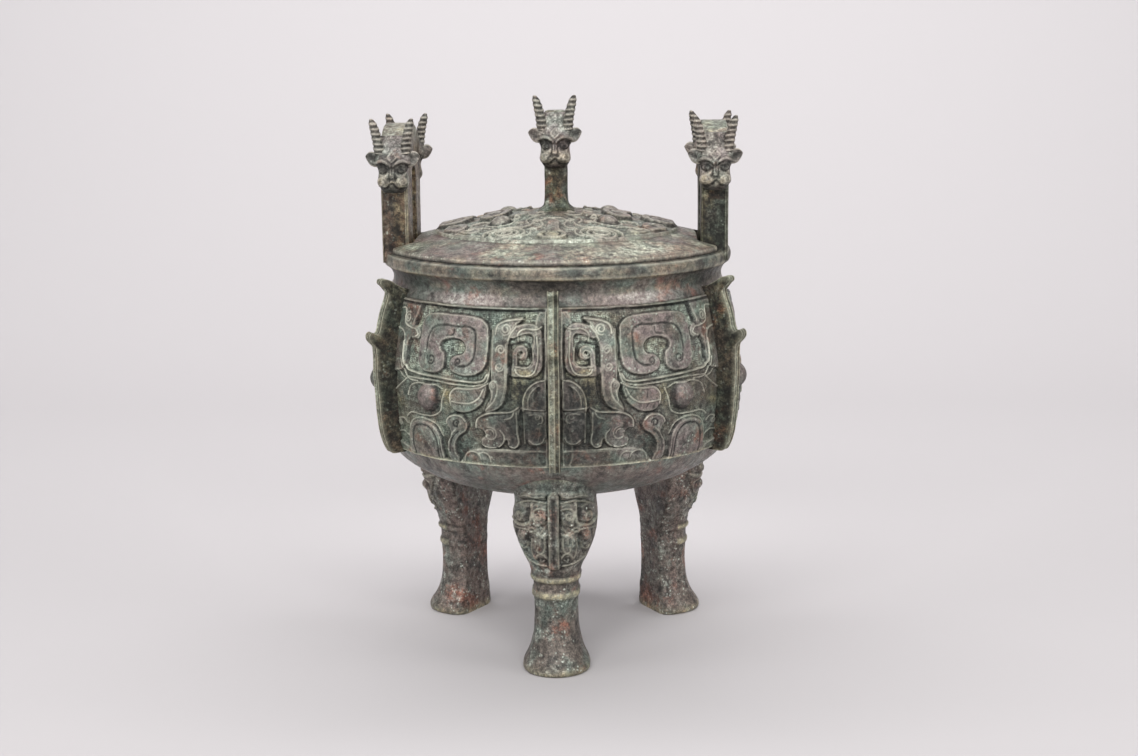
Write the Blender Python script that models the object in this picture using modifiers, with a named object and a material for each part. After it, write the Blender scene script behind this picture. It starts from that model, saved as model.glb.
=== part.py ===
"""Lidded bronze ding: a round bowl on three legs, with six flanges, two loop handles and a lid.

Everything is in metres, +Z up. The origin is on the ground, on the bowl's axis.
The front is -Y. One front leg stands at -Y, and the handles stand at -X and +X.
Angles on the bowl are in degrees from the front, growing towards +X.
"""

import math

import bmesh
import bpy
from mathutils import Matrix, Vector

MM = 0.001

# Rim and bowl
RIM_TOP = 206.2 * MM
MOUTH_RADIUS = 77.5 * MM
MOUTH_LEDGE = 5.0 * MM
NECK_RADIUS = 85.2 * MM
BELLY_RADIUS = 94.4 * MM
BELLY_HEIGHT = 144.2 * MM
BOWL_BOTTOM = 83.2 * MM
WALL = 4.0 * MM
ROUND_STEPS = 36

# Rim profile from the top of the lip down to the neck: radius, and depth below the rim, in mm
RIM_STATIONS = (
    (88.8, 0.0),
    (90.0, 1.2),
    (90.0, 5.3),
    (88.8, 6.5),
    (86.2, 9.7),
    (NECK_RADIUS / MM, 13.0),
)

# Outer profile of the bowl below the neck: radius and height in millimetres
BOWL_STATIONS = (
    (87.2, 188.2),
    (88.8, 180.5),
    (91.6, 166.7),
    (BELLY_RADIUS / MM, BELLY_HEIGHT / MM),
    (93.8, 127.2),
    (91.0, 110.7),
    (86.2, 102.6),
    (76.0, 94.6),
    (54.0, 86.1),
    (16.0, BOWL_BOTTOM / MM),
)

# Stations that the hollow follows; the others lie close to a straight line between these
HOLLOW_STATIONS = (1, 2, 3, 5, 6, 7, 8, 9)
HOLLOW_ABOVE = 8.0 * MM

# Flanges and masks, cast a little out of line with the legs, in degrees
BELT_TURN = 1.0
FLANGE_COUNT = 6
FLANGE_THICKNESS = 5.4 * MM
FLANGE_ROOT = 2.0 * MM
FLANGE_ROOT_HEIGHTS = (191.2, 180.2, 166.2, 144.2, 126.2, 108.5)

# Relief
RELIEF_ROOT = 1.5 * MM
RELIEF_SLOPE = 0.4 * MM
EYE_RADIUS = 7.2 * MM
EYE_STAND = 4.2 * MM
BOSS_SIDES = 10
BOSS_RINGS = ((1.0, 0.0), (1.0, 0.3), (0.74, 0.78), (0.3, 1.0))
SMALL_SIDES = 6

# Legs
LEG_ANGLES = (0.0, 120.0, -120.0)
LEG_INNER_FACE = 55.6 * MM
LEG_CORNER = 2.0 * MM
LEG_SIDES = 8
LEG_RING_STAND = 1.0 * MM
LEG_RING_HALF = 1.3 * MM
LEG_RIDGE_STAND = 2.2 * MM
LEG_MASK_BOTTOM = 51.0 * MM
LEG_MASK_TOP = 92.0 * MM
LEG_EYE_RADIUS = 3.0 * MM
LEG_EYE_STAND = 2.2 * MM
LEG_RINGS = ((39.8 * MM, 11.2 * MM), (47.9 * MM, 11.6 * MM))
LEG_RING_CENTRE = 65.5 * MM

# Leg sections below and above the rings: height, half width, and radius of the centre, in mm
LEG_SHANK = (
    (0.0, 15.0, 67.4),
    (1.8, 16.9, 67.4),
    (4.6, 16.3, 67.2),
    (9.0, 13.8, 66.6),
    (16.0, 11.9, 65.8),
    (27.0, 10.9, 65.4),
)
LEG_HEAD = (
    (53.0, 12.9, 65.4),
    (59.0, 15.9, 64.4),
    (69.0, 19.8, 63.2),
    (79.0, 21.0, 63.2),
    (88.0, 20.4, 63.2),
    (96.0, 22.0, 63.2),
    (103.5, 22.4, 63.0),
)

# Handles
HANDLE_CENTRE = 80.9 * MM
HANDLE_THICKNESS = 13.6 * MM
HANDLE_HALF_DEPTH = 27.5 * MM
HANDLE_HOLE_HALF = 8.0 * MM
HANDLE_HOLE_TOP = 248.2 * MM
HANDLE_SHOULDER = 260.2 * MM
HANDLE_TOP = 269.5 * MM
HANDLE_HOLE_CORNER = 5.0 * MM
HANDLE_ROOT = 201.7 * MM
HANDLE_ARCH_STEPS = 8
HANDLE_ARCH_POWER = 0.6
PANEL_DEPTH = 0.7 * MM
PANEL_CUTTER = 5.0 * MM
PANEL_WIDTH = 8.6 * MM
PANEL_BOTTOM = 212.2 * MM
PANEL_TOP = 237.2 * MM

# Animal heads
HANDLE_EYE_HEIGHT = 248.9 * MM
KNOB_EYE_HEIGHT = 258.4 * MM
SKULL_SIDES = 4
SKULL_SQUARENESS = 0.72
SKULL_TAPER = 0.7
SKULL_ROOT = 3.0 * MM
HORN_SIDES = 5
HORN_LENGTH = 17.0 * MM
HORN_RISE = 8.0 * MM
HORN_SETTING = 2.0 * MM
HORN_FORWARD = 1.5 * MM
HORN_ROOT_ACROSS = 6.5 * MM
HORN_TIP_ACROSS = 9.6 * MM
HORN_ROOT_RADIUS = 2.7 * MM
HORN_TIP_RADIUS = 1.4 * MM
EAR_SETTING = 1.6 * MM

# Skull sections: height over the eyes, half width and depth in front of the post, in mm
SKULL = (
    (-10.0, 5.4, 3.6),
    (-7.0, 7.4, 7.2),
    (-3.4, 7.6, 8.2),
    (-0.2, 7.5, 6.2),
    (5.6, 9.2, 6.0),
    (10.4, 8.2, 3.4),
)

# Ear sections: reach from the middle, height over the eyes, half height and half thickness
EAR_SECTIONS = ((6.6, 3.4, 2.9, 1.4), (12.9, 5.0, 1.6, 0.7))

# Lid
LID_GAP = 0.3 * MM
LID_RADIUS = 87.5 * MM
LID_EDGE = 2.7 * MM
LID_RISE = 16.2 * MM
LID_POWER = 1.35
LID_WALL = 3.0 * MM
LID_DISC_RADIUS = 63.0 * MM
LID_DISC_STEP = 1.4 * MM
LID_DISC_EDGE = 0.3 * MM
LID_MIDDLE_RADIUS = 35.0 * MM
LID_SHOULDER_RADIUS = 61.0 * MM
LID_RING_TAPER = 0.6 * MM
LID_RING_OUTER = 72.0 * MM
LID_RING_INNER = 69.0 * MM
LID_RING_BOTTOM = 200.7 * MM
NOTCH_INNER = 72.6 * MM
NOTCH_HALF = 28.4 * MM
NOTCH_FLARE = 31.5 * MM
NOTCH_BEYOND = 6.0 * MM
KNOB_HALF_WIDTH = 5.9 * MM
KNOB_HALF_DEPTH = 6.5 * MM
KNOB_CORNER = 1.2 * MM
KNOB_TOP = 276.8 * MM

# Knob post: height over the lid's middle, or depth below its top, in mm, and share of its width
KNOB_FOOT = ((-1.5, 1.45), (1.4, 1.28), (5.0, 1.0))
KNOB_CROWN = ((4.0, 1.0), (0.8, 0.86), (0.0, 0.66))


def clear_scene():
    for obj in list(bpy.data.objects):
        bpy.data.objects.remove(obj)


def new_collection(name):
    group = bpy.data.collections.new(name)
    bpy.context.scene.collection.children.link(group)
    return group


def bronze(name, colour, roughness):
    material = bpy.data.materials.new(name)
    material.use_nodes = True
    shader = material.node_tree.nodes["Principled BSDF"]
    shader.inputs["Base Color"].default_value = (*colour, 1.0)
    shader.inputs["Roughness"].default_value = roughness
    shader.inputs["Metallic"].default_value = 0.55
    return material


def mesh_object(name, bm, group):
    """Writes a bmesh into a new object with outward faces."""
    bmesh.ops.recalc_face_normals(bm, faces=bm.faces)
    mesh = bpy.data.meshes.new(name)
    bm.to_mesh(mesh)
    bm.free()
    obj = bpy.data.objects.new(name, mesh)
    group.objects.link(obj)
    return obj


def bake(obj):
    """Replaces an object's mesh by the one its modifiers give, and places it in the world."""
    graph = bpy.context.evaluated_depsgraph_get()
    mesh = bpy.data.meshes.new_from_object(obj.evaluated_get(graph))
    mesh.transform(obj.matrix_world)
    name = obj.name
    group = obj.users_collection[0]
    bpy.data.objects.remove(obj)
    fresh = bpy.data.objects.new(name, mesh)
    group.objects.link(fresh)
    bm = bmesh.new()
    bm.from_mesh(mesh)
    bmesh.ops.remove_doubles(bm, verts=bm.verts, dist=1e-6)
    bm.to_mesh(mesh)
    bm.free()
    return fresh


def combine(target, tool, operation, overlapping=False):
    """Joins or cuts the target with the tool, then drops the tool."""
    step = target.modifiers.new(operation.lower(), "BOOLEAN")
    step.operation = operation
    step.solver = "EXACT"
    step.use_self = overlapping
    step.object = tool
    bpy.context.view_layer.update()
    result = bake(target)
    bpy.data.objects.remove(tool)
    return result


def gather(name, pieces):
    """Puts the meshes of several objects in one object."""
    group = pieces[0].users_collection[0]
    bm = bmesh.new()
    for piece in pieces:
        bm.from_mesh(piece.data)
        bpy.data.objects.remove(piece)
    mesh = bpy.data.meshes.new(name)
    bm.to_mesh(mesh)
    bm.free()
    obj = bpy.data.objects.new(name, mesh)
    group.objects.link(obj)
    return obj


def turned(name, profile, group):
    """Turns a closed profile of (radius, height) points about Z with a Screw modifier."""
    mesh = bpy.data.meshes.new(name)
    count = len(profile)
    points = [(radius, 0.0, height) for radius, height in profile]
    closed = profile[0][0] > 0.0
    edges = [(i, i + 1) for i in range(count - 1)]
    if closed:
        edges.append((count - 1, 0))
    mesh.from_pydata(points, edges, [])
    obj = bpy.data.objects.new(name, mesh)
    group.objects.link(obj)
    screw = obj.modifiers.new("turn", "SCREW")
    screw.steps = ROUND_STEPS
    screw.render_steps = ROUND_STEPS
    screw.use_merge_vertices = True
    screw.merge_threshold = 0.00001
    return bake(obj)


def lofted(name, rings, group):
    """Skins a list of closed rings, each with as many points, and caps both ends."""
    bm = bmesh.new()
    rows = [[bm.verts.new(point) for point in ring] for ring in rings]
    count = len(rings[0])
    for lower, upper in zip(rows, rows[1:]):
        for i in range(count):
            j = (i + 1) % count
            bm.faces.new((lower[i], lower[j], upper[j], upper[i]))
    bm.faces.new(rows[0][::-1])
    bm.faces.new(rows[-1])
    return mesh_object(name, bm, group)


def flat_plate(name, outline, thickness, group):
    """Extrudes a flat outline of (across, up) points; the plate stands in the XZ plane."""
    curve = bpy.data.curves.new(name, "CURVE")
    curve.dimensions = "2D"
    curve.fill_mode = "BOTH"
    curve.extrude = thickness / 2
    spline = curve.splines.new("POLY")
    spline.points.add(len(outline) - 1)
    for point, (across, up) in zip(spline.points, outline):
        point.co = (across, up, 0.0, 1.0)
    spline.use_cyclic_u = True
    obj = bpy.data.objects.new(name, curve)
    group.objects.link(obj)
    obj.rotation_euler = (math.pi / 2, 0.0, 0.0)
    bpy.context.view_layer.update()
    plate = bake(obj)
    bm = bmesh.new()
    bm.from_mesh(plate.data)
    bmesh.ops.recalc_face_normals(bm, faces=bm.faces)
    bm.to_mesh(plate.data)
    bm.free()
    return plate


def box(name, low, high, group):
    bm = bmesh.new()
    bmesh.ops.create_cube(bm, size=1.0)
    size = Vector(high) - Vector(low)
    centre = (Vector(high) + Vector(low)) / 2
    bmesh.ops.scale(bm, vec=size, verts=bm.verts)
    bmesh.ops.translate(bm, vec=centre, verts=bm.verts)
    return mesh_object(name, bm, group)


def arc(centre, radius, start, end, steps):
    """Points on an arc, by angle in degrees."""
    points = []
    for i in range(steps + 1):
        angle = math.radians(start + (end - start) * i / steps)
        points.append((centre[0] + radius * math.cos(angle), centre[1] + radius * math.sin(angle)))
    return points


def round_corners(points, radius):
    """Cuts each inner corner of a path off a radius before it and after it."""
    if radius == 0.0:
        return list(points)
    out = [points[0]]
    for before, corner, after in zip(points, points[1:], points[2:]):
        here = Vector(corner)
        back = Vector(before) - here
        ahead = Vector(after) - here
        out.append(tuple(here + back.normalized() * min(radius, back.length / 2)))
        out.append(tuple(here + ahead.normalized() * min(radius, ahead.length / 2)))
    out.append(points[-1])
    return out


def bowl_outline():
    """Outer profile from the top of the lip to the bottom on the axis."""
    rim = [(radius * MM, RIM_TOP - depth * MM) for radius, depth in RIM_STATIONS]
    below = [(radius * MM, height * MM) for radius, height in BOWL_STATIONS]
    return rim + below + [(0.0, BOWL_BOTTOM)]


OUTLINE = bowl_outline()


def bowl_radius(height):
    """Outer radius of the bowl at a height, between the neck and the bottom."""
    neck = len(RIM_STATIONS) - 1
    for (r0, z0), (r1, z1) in zip(OUTLINE[neck:], OUTLINE[neck + 1 :]):
        if z1 <= height <= z0:
            return r0 + (r1 - r0) * (z0 - height) / (z0 - z1)
    return NECK_RADIUS


def hollow_outline():
    """Inner profile: the outer one moved in by the wall, under a narrower mouth."""
    ledge = RIM_TOP - MOUTH_LEDGE
    above = RIM_TOP + HOLLOW_ABOVE
    points = [(0.0, above), (MOUTH_RADIUS, above), (MOUTH_RADIUS, ledge)]
    lower = [(BOWL_STATIONS[i][0] * MM, BOWL_STATIONS[i][1] * MM) for i in HOLLOW_STATIONS]
    lower = [(NECK_RADIUS, ledge)] + lower + [(0.0, BOWL_BOTTOM)]
    for before, here, after in zip(lower, lower[1:], lower[2:]):
        along = Vector((after[0] - before[0], after[1] - before[1])).normalized()
        inward = Vector((along.y, -along.x))
        points.append((here[0] + inward.x * WALL, here[1] + inward.y * WALL))
    points.append((0.0, BOWL_BOTTOM + WALL))
    return points


def on_bowl(angle, height, stand):
    """Point at an angle in degrees from the front, a height, and a distance above the wall."""
    turn = math.radians(angle)
    radius = bowl_radius(height) + stand
    return Vector((radius * math.sin(turn), -radius * math.cos(turn), height))


def band(name, path, width, height, place, group):
    """A raised band along a path. The path's points are flat, in metres; place puts a flat
    point and its height on the carved surface. Corners keep the band's width."""
    points = [Vector(point) for point in path]
    rings = []
    for i, point in enumerate(points):
        ahead = (points[min(i + 1, len(points) - 1)] - point).normalized()
        behind = (point - points[max(i - 1, 0)]).normalized()
        along = (ahead + behind).normalized()
        miter = 1.0 / max(0.5, along.dot(ahead if i == 0 else behind))
        across = Vector((-along.y, along.x)) * miter
        foot = across * (width / 2)
        crest = across * (width / 2 - RELIEF_SLOPE)
        rings.append(
            [
                place(point - foot, -RELIEF_ROOT),
                place(point - crest, height),
                place(point + crest, height),
                place(point + foot, -RELIEF_ROOT),
            ]
        )
    return lofted(name, rings, group)


def boss(name, centre, radius, stand, place, group, sides=BOSS_SIDES):
    """A round eye boss: rings that shrink towards a blunt top."""
    rings = []
    for share, lift in BOSS_RINGS:
        rise = lift * stand - (RELIEF_ROOT if lift == 0.0 else 0.0)
        circle = arc((0.0, 0.0), radius * share, 0.0, 360.0 - 360.0 / sides, sides - 1)
        rings.append([place(Vector(centre) + Vector(point), rise) for point in circle])
    return lofted(name, rings, group)


# Relief of one half of a mask, as paths of (degrees from the mask's middle, height in mm),
# with the band's width, its height above the wall and its corner radius, in mm
HORN = ((20.0, 159.2), (19.4, 176.6), (36.0, 176.6), (36.4, 159.4), (31.2, 159.0))
COLUMN = ((47.4, 181.4), (43.6, 177.2), (43.8, 148.2), (40.2, 140.2))
SPIRAL = ((48.8, 173.8), (55.2, 173.8), (55.2, 158.6), (48.8, 158.6))
CURL = ((48.6, 166.2), (51.6, 166.2))
EAR = ((29.6, 142.4), (36.4, 144.0))
ARCH = ((11.2, 112.2), (11.6, 126.8), (21.8, 127.0), (22.6, 112.2))
FANG = ((30.6, 129.6), (27.6, 121.2), (28.8, 112.6))
JAW = ((37.4, 122.6), (38.6, 134.6), (46.4, 134.8), (46.6, 122.8))
PILLAR = ((56.0, 150.8), (50.9, 148.2), (50.9, 122.4))
MASK_BANDS = (
    (HORN, 11.6, 1.5, 5.0),
    (COLUMN, 6.4, 1.45, 0.0),
    (SPIRAL, 4.4, 1.4, 3.0),
    (CURL, 4.4, 1.3, 0.0),
    (EAR, 8.8, 1.5, 0.0),
    (ARCH, 4.4, 1.3, 0.0),
    (FANG, 6.0, 1.5, 0.0),
    (JAW, 4.8, 1.35, 0.0),
    (PILLAR, 3.6, 1.5, 0.0),
)
EYE_PLACE = (19.0, 141.2)
MASK_CENTRES = (60.0 + BELT_TURN, 180.0 + BELT_TURN, -60.0 + BELT_TURN)


def bowl_place(centre, side):
    """Places flat relief points on the bowl, measured to one side of a mask's middle."""
    flat = math.radians(1.0) * BELLY_RADIUS

    def place(point, stand):
        return on_bowl(centre + side * point[0] / flat, point[1], stand)

    return place


def mask_relief(group):
    """Both halves of the three masks between the flanges, as one set of closed bands."""
    flat = math.radians(1.0) * BELLY_RADIUS
    pieces = []
    for centre in MASK_CENTRES:
        for side in (1.0, -1.0):
            place = bowl_place(centre, side)
            for path, width, height, corner in MASK_BANDS:
                points = [(angle * flat, z * MM) for angle, z in path]
                curve = round_corners(points, corner * MM)
                pieces.append(band("band", curve, width * MM, height * MM, place, group))
            eye = (EYE_PLACE[0] * flat, EYE_PLACE[1] * MM)
            pieces.append(boss("eye", eye, EYE_RADIUS, EYE_STAND, place, group))
    return gather("mask_relief", pieces)


def flange_outline():
    """Outline of a flange, as (radius, height): a hook at the top and one in the middle."""
    outer = [(98.6, 108.5), (101.6, 116.2), (104.0, 138.2), (104.7, 161.6)]
    hook = [(107.2, 165.4), (108.2, 168.0), (106.8, 170.4), (103.6, 169.1)]
    upper = [(102.3, 170.6), (99.8, 181.2), (96.6, 189.2)]
    tip = [(100.6, 193.6), (101.2, 196.2), (96.4, 196.0), (88.0, 191.2)]
    outside = [(radius * MM, height * MM) for radius, height in outer + hook + upper + tip]
    root = []
    for height in FLANGE_ROOT_HEIGHTS:
        root.append((bowl_radius(height * MM) - FLANGE_ROOT, height * MM))
    return outside + root


def flanges(group):
    """Six upright flanges, the first over the front leg and one every 60 degrees."""
    pieces = []
    for i in range(FLANGE_COUNT):
        plate = flat_plate("flange", flange_outline(), FLANGE_THICKNESS, group)
        angle = 360.0 * i / FLANGE_COUNT - 90.0 + BELT_TURN
        plate.data.transform(Matrix.Rotation(math.radians(angle), 4, "Z"))
        pieces.append(plate)
    return gather("flanges", pieces)


def leg_sections():
    """Heights, half widths and centres of a leg's sections, from the sole to inside the bowl."""
    sections = [(z * MM, half * MM, centre * MM) for z, half, centre in LEG_SHANK]
    for height, half in LEG_RINGS:
        sections.append((height - LEG_RING_HALF, half, LEG_RING_CENTRE))
        sections.append((height, half + LEG_RING_STAND, LEG_RING_CENTRE))
        sections.append((height + LEG_RING_HALF, half, LEG_RING_CENTRE))
    return sections + [(z * MM, half * MM, centre * MM) for z, half, centre in LEG_HEAD]


LEG_SECTIONS = leg_sections()


def leg_ring(height, half, centre):
    """Closed section of a leg: half round outside, flat inside with cut corners. On the mask
    the middle of the round side stands out as a ridge."""
    ridge = LEG_RIDGE_STAND if LEG_MASK_BOTTOM < height < LEG_MASK_TOP else 0.0
    ring = []
    for i, (x, y) in enumerate(arc((0.0, 0.0), half, -90.0, 90.0, LEG_SIDES)):
        share = 1.0 + ridge / half if i == LEG_SIDES // 2 else 1.0
        ring.append((centre + x * share, y * share))
    ring.append((LEG_INNER_FACE + LEG_CORNER, half))
    ring.append((LEG_INNER_FACE, half - LEG_CORNER))
    ring.append((LEG_INNER_FACE, LEG_CORNER - half))
    ring.append((LEG_INNER_FACE + LEG_CORNER, -half))
    return [(x, y, height) for x, y in ring]


def on_leg(across, height, stand):
    """Point on a leg's round outer side, by the arc length across it."""
    for (z0, half0, centre0), (z1, half1, centre1) in zip(LEG_SECTIONS, LEG_SECTIONS[1:]):
        if z0 <= height <= z1:
            share = (height - z0) / (z1 - z0)
            half = half0 + (half1 - half0) * share
            centre = centre0 + (centre1 - centre0) * share
            turn = across / half
            radius = half + stand
            return Vector((centre + radius * math.cos(turn), radius * math.sin(turn), height))
    raise ValueError("height is off the leg")


# Relief of a leg's mask: (arc length across, height) in mm, then width and height in mm
LEG_BROW = ((11.6, 78.4), (24.0, 79.0))
LEG_EYE = (17.0, 72.4)
LEG_BROW_WIDTH = 3.0
LEG_BROW_STAND = 1.3


def leg_place(side):
    """Places flat relief points on a leg, to one side of its ridge."""

    def place(point, stand):
        return on_leg(side * point[0], point[1], stand)

    return place


def legs(group):
    """Three legs with a low mask on the outer side of each."""
    pieces = []
    for angle in LEG_ANGLES:
        turn = Matrix.Rotation(math.radians(angle - 90.0), 4, "Z")
        parts = [lofted("post", [leg_ring(*section) for section in LEG_SECTIONS], group)]
        for side in (1.0, -1.0):
            place = leg_place(side)
            points = [(x * MM, z * MM) for x, z in LEG_BROW]
            parts.append(band("brow", points, LEG_BROW_WIDTH * MM, LEG_BROW_STAND * MM, place, group))
            eye = (LEG_EYE[0] * MM, LEG_EYE[1] * MM)
            parts.append(boss("leg_eye", eye, LEG_EYE_RADIUS, LEG_EYE_STAND, place, group, SMALL_SIDES))
        leg = gather("leg", parts)
        leg.data.transform(turn)
        pieces.append(leg)
    return gather("legs", pieces)


def skull(eye_height, group):
    """Skull from the chin to the crown: half round sections, set into the post behind it."""
    rings = []
    for rise, half, depth in SKULL:
        height = eye_height + rise * MM
        ring = []
        for x, y in arc((0.0, 0.0), 1.0, 180.0, 360.0, SKULL_SIDES):
            across = math.copysign(abs(x) ** SKULL_SQUARENESS, x) * half
            forward = abs(y) ** SKULL_SQUARENESS * depth
            ring.append((across * MM, -forward * MM, height))
        ring.append((half * SKULL_TAPER * MM, SKULL_ROOT, height))
        ring.append((-half * SKULL_TAPER * MM, SKULL_ROOT, height))
        rings.append(ring)
    return lofted("skull", rings, group)


def horn(side, eye_height, group):
    """Tapering horn that rises from the brow and leans out."""
    root = Vector((side * HORN_ROOT_ACROSS, -HORN_SETTING, eye_height + HORN_RISE))
    rings = []
    for share in (0.0, 0.5, 1.0):
        lean = (HORN_TIP_ACROSS - HORN_ROOT_ACROSS) * share**1.5
        middle = root + Vector((side * lean, -share * HORN_FORWARD, share * HORN_LENGTH))
        radius = HORN_ROOT_RADIUS + (HORN_TIP_RADIUS - HORN_ROOT_RADIUS) * share
        circle = arc((0.0, 0.0), radius, 0.0, 360.0 - 360.0 / HORN_SIDES, HORN_SIDES - 1)
        rings.append([middle + Vector((x, y, 0.0)) for x, y in circle])
    return lofted("horn", rings, group)


def ear(side, eye_height, group):
    """Leaf-shaped ear that sticks out sideways."""
    rings = []
    for reach, rise, half, thick in EAR_SECTIONS:
        middle = Vector((side * reach * MM, -EAR_SETTING, eye_height + rise * MM))
        ring = [(0.0, -thick), (half * 0.7, 0.0), (0.0, thick), (-half, 0.0)]
        rings.append([middle + Vector((0.0, forward * MM, up * MM)) for up, forward in ring])
    return lofted("ear", rings, group)


def head(eye_height, group):
    """An animal's head that faces -Y: skull, two horns and two ears.
    The post's face is the plane y = 0, and the head's middle is x = 0."""
    pieces = [skull(eye_height, group)]
    for side in (1.0, -1.0):
        pieces.append(horn(side, eye_height, group))
        pieces.append(ear(side, eye_height, group))
    return gather("head", pieces)


def handle_outline():
    """Inverted U as (across, up), closed, with a low arch over the hole."""
    outer = [(-HANDLE_HALF_DEPTH, HANDLE_ROOT), (-HANDLE_HALF_DEPTH, HANDLE_SHOULDER)]
    for i in range(1, HANDLE_ARCH_STEPS):
        share = i / HANDLE_ARCH_STEPS
        across = -HANDLE_HALF_DEPTH + 2 * HANDLE_HALF_DEPTH * share
        rise = math.sin(math.pi * share) ** HANDLE_ARCH_POWER
        outer.append((across, HANDLE_SHOULDER + (HANDLE_TOP - HANDLE_SHOULDER) * rise))
    outer += [(HANDLE_HALF_DEPTH, HANDLE_SHOULDER), (HANDLE_HALF_DEPTH, HANDLE_ROOT)]
    corner = HANDLE_HOLE_CORNER
    springing = HANDLE_HOLE_TOP - corner
    hole = [(HANDLE_HOLE_HALF, HANDLE_ROOT)]
    hole += arc((HANDLE_HOLE_HALF - corner, springing), corner, 0.0, 90.0, 3)
    hole += arc((-HANDLE_HOLE_HALF + corner, springing), corner, 90.0, 180.0, 3)
    hole += [(-HANDLE_HOLE_HALF, HANDLE_ROOT)]
    return outer + hole


def handle(side, group):
    """One loop handle with a head on its front and its back, and a sunk panel on each post."""
    loop = flat_plate("handle", handle_outline(), HANDLE_THICKNESS, group)
    loop.data.transform(Matrix.Rotation(math.pi / 2, 4, "Z"))
    for turn in (0.0, math.pi):
        deep = HANDLE_HALF_DEPTH - PANEL_DEPTH
        low = (-PANEL_WIDTH / 2, -deep - PANEL_CUTTER, PANEL_BOTTOM)
        high = (PANEL_WIDTH / 2, -deep, PANEL_TOP)
        panel = box("panel", low, high, group)
        panel.data.transform(Matrix.Rotation(turn, 4, "Z"))
        loop = combine(loop, panel, "DIFFERENCE")
        face = head(HANDLE_EYE_HEIGHT, group)
        face.data.transform(Matrix.Translation((0.0, -HANDLE_HALF_DEPTH, 0.0)))
        face.data.transform(Matrix.Rotation(turn, 4, "Z"))
        loop = combine(loop, face, "UNION", overlapping=True)
    loop.data.transform(Matrix.Translation((side * HANDLE_CENTRE, 0.0, 0.0)))
    return loop


def build_vessel(group):
    """Bowl, flanges, relief and legs are joined solid, hollowed, and then take the handles."""
    body = turned("vessel", OUTLINE + [(0.0, RIM_TOP)], group)
    body = combine(body, mask_relief(group), "UNION", overlapping=True)
    body = combine(body, flanges(group), "UNION")
    body = combine(body, legs(group), "UNION", overlapping=True)
    hollow = turned("hollow", hollow_outline(), group)
    body = combine(body, hollow, "DIFFERENCE")
    for side in (-1.0, 1.0):
        body = combine(body, handle(side, group), "UNION")
    return body


def lid_height(radius):
    """Height of the lid's ground at a radius; the carved disc stands a little higher."""
    base = RIM_TOP + LID_GAP + LID_EDGE
    height = base + LID_RISE * (1.0 - (radius / LID_RADIUS) ** LID_POWER)
    if radius < LID_DISC_RADIUS:
        height += LID_DISC_STEP
    return height


def lid_outline():
    """Closed profile of the lid from its top down the edge and back under to the axis."""
    under = RIM_TOP + LID_GAP
    inner = LID_DISC_RADIUS - LID_DISC_EDGE
    outer = LID_DISC_RADIUS + LID_DISC_EDGE
    top = [(radius, lid_height(radius)) for radius in (0.0, LID_MIDDLE_RADIUS, inner, outer)]
    edge = [(LID_RADIUS, under + LID_EDGE), (LID_RADIUS, under)]
    ring = [
        (LID_RING_OUTER, under),
        (LID_RING_OUTER - LID_RING_TAPER, LID_RING_BOTTOM),
        (LID_RING_INNER, LID_RING_BOTTOM),
        (LID_RING_INNER, under + LID_RING_TAPER),
    ]
    stations = (LID_SHOULDER_RADIUS, LID_MIDDLE_RADIUS, 0.0)
    inside = [(radius, lid_height(radius) - LID_WALL) for radius in stations]
    return top + edge + ring + inside


def on_lid(point, stand):
    radius = math.hypot(point[0], point[1])
    return Vector((point[0], point[1], lid_height(radius) + stand))


# Relief of a quarter of the lid, front right: (x, y) in mm from the axis, then width and height
LID_HORN = ((31.0, -7.0), (40.0, -10.0), (55.0, -13.0))
LID_CREST = ((14.0, -13.0), (22.0, -16.6), (34.0, -17.0), (42.0, -22.0))
LID_SCROLL = ((14.6, -51.0), (18.0, -43.0), (30.0, -42.0), (34.6, -48.0))
LID_NOSE = ((0.0, -57.0), (0.0, -28.0))
LID_BANDS = (
    (LID_HORN, 6.0, 1.7),
    (LID_CREST, 3.6, 1.2),
    (LID_SCROLL, 3.6, 1.1),
)
LID_EYE = (26.5, -27.5)
LID_EYE_RADIUS = 5.0 * MM
LID_EYE_STAND = 3.4 * MM
LID_NOSE_WIDTH = 6.0 * MM
LID_NOSE_STAND = 1.2 * MM


def lid_place(x_side, y_side):
    """Places flat relief points on one quarter of the lid."""

    def place(point, stand):
        return on_lid((x_side * point[0], y_side * point[1]), stand)

    return place


def lid_relief(group):
    """Two masks back to back on the lid, mirrored in both planes."""
    pieces = []
    for y_side in (1.0, -1.0):
        nose = [(x * MM, y * MM) for x, y in LID_NOSE]
        place = lid_place(1.0, y_side)
        pieces.append(band("lid_nose", nose, LID_NOSE_WIDTH, LID_NOSE_STAND, place, group))
        for x_side in (1.0, -1.0):
            place = lid_place(x_side, y_side)
            for path, width, height in LID_BANDS:
                points = [(x * MM, y * MM) for x, y in path]
                pieces.append(band("lid_band", points, width * MM, height * MM, place, group))
            eye = (LID_EYE[0] * MM, LID_EYE[1] * MM)
            pieces.append(boss("lid_eye", eye, LID_EYE_RADIUS, LID_EYE_STAND, place, group))
    return gather("lid_relief", pieces)


def notch(side, group):
    """Wedge-sided cutter that clears a handle's foot, open to the lid's edge."""
    outer = LID_RADIUS + NOTCH_BEYOND
    plan = [
        (NOTCH_INNER, -NOTCH_HALF),
        (outer, -NOTCH_FLARE),
        (outer, NOTCH_FLARE),
        (NOTCH_INNER, NOTCH_HALF),
    ]
    levels = (LID_RING_BOTTOM - NOTCH_BEYOND, RIM_TOP + LID_RISE + NOTCH_BEYOND)
    rings = [[(side * x, y, z) for x, y in plan] for z in levels]
    return lofted("notch", rings, group)


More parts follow.
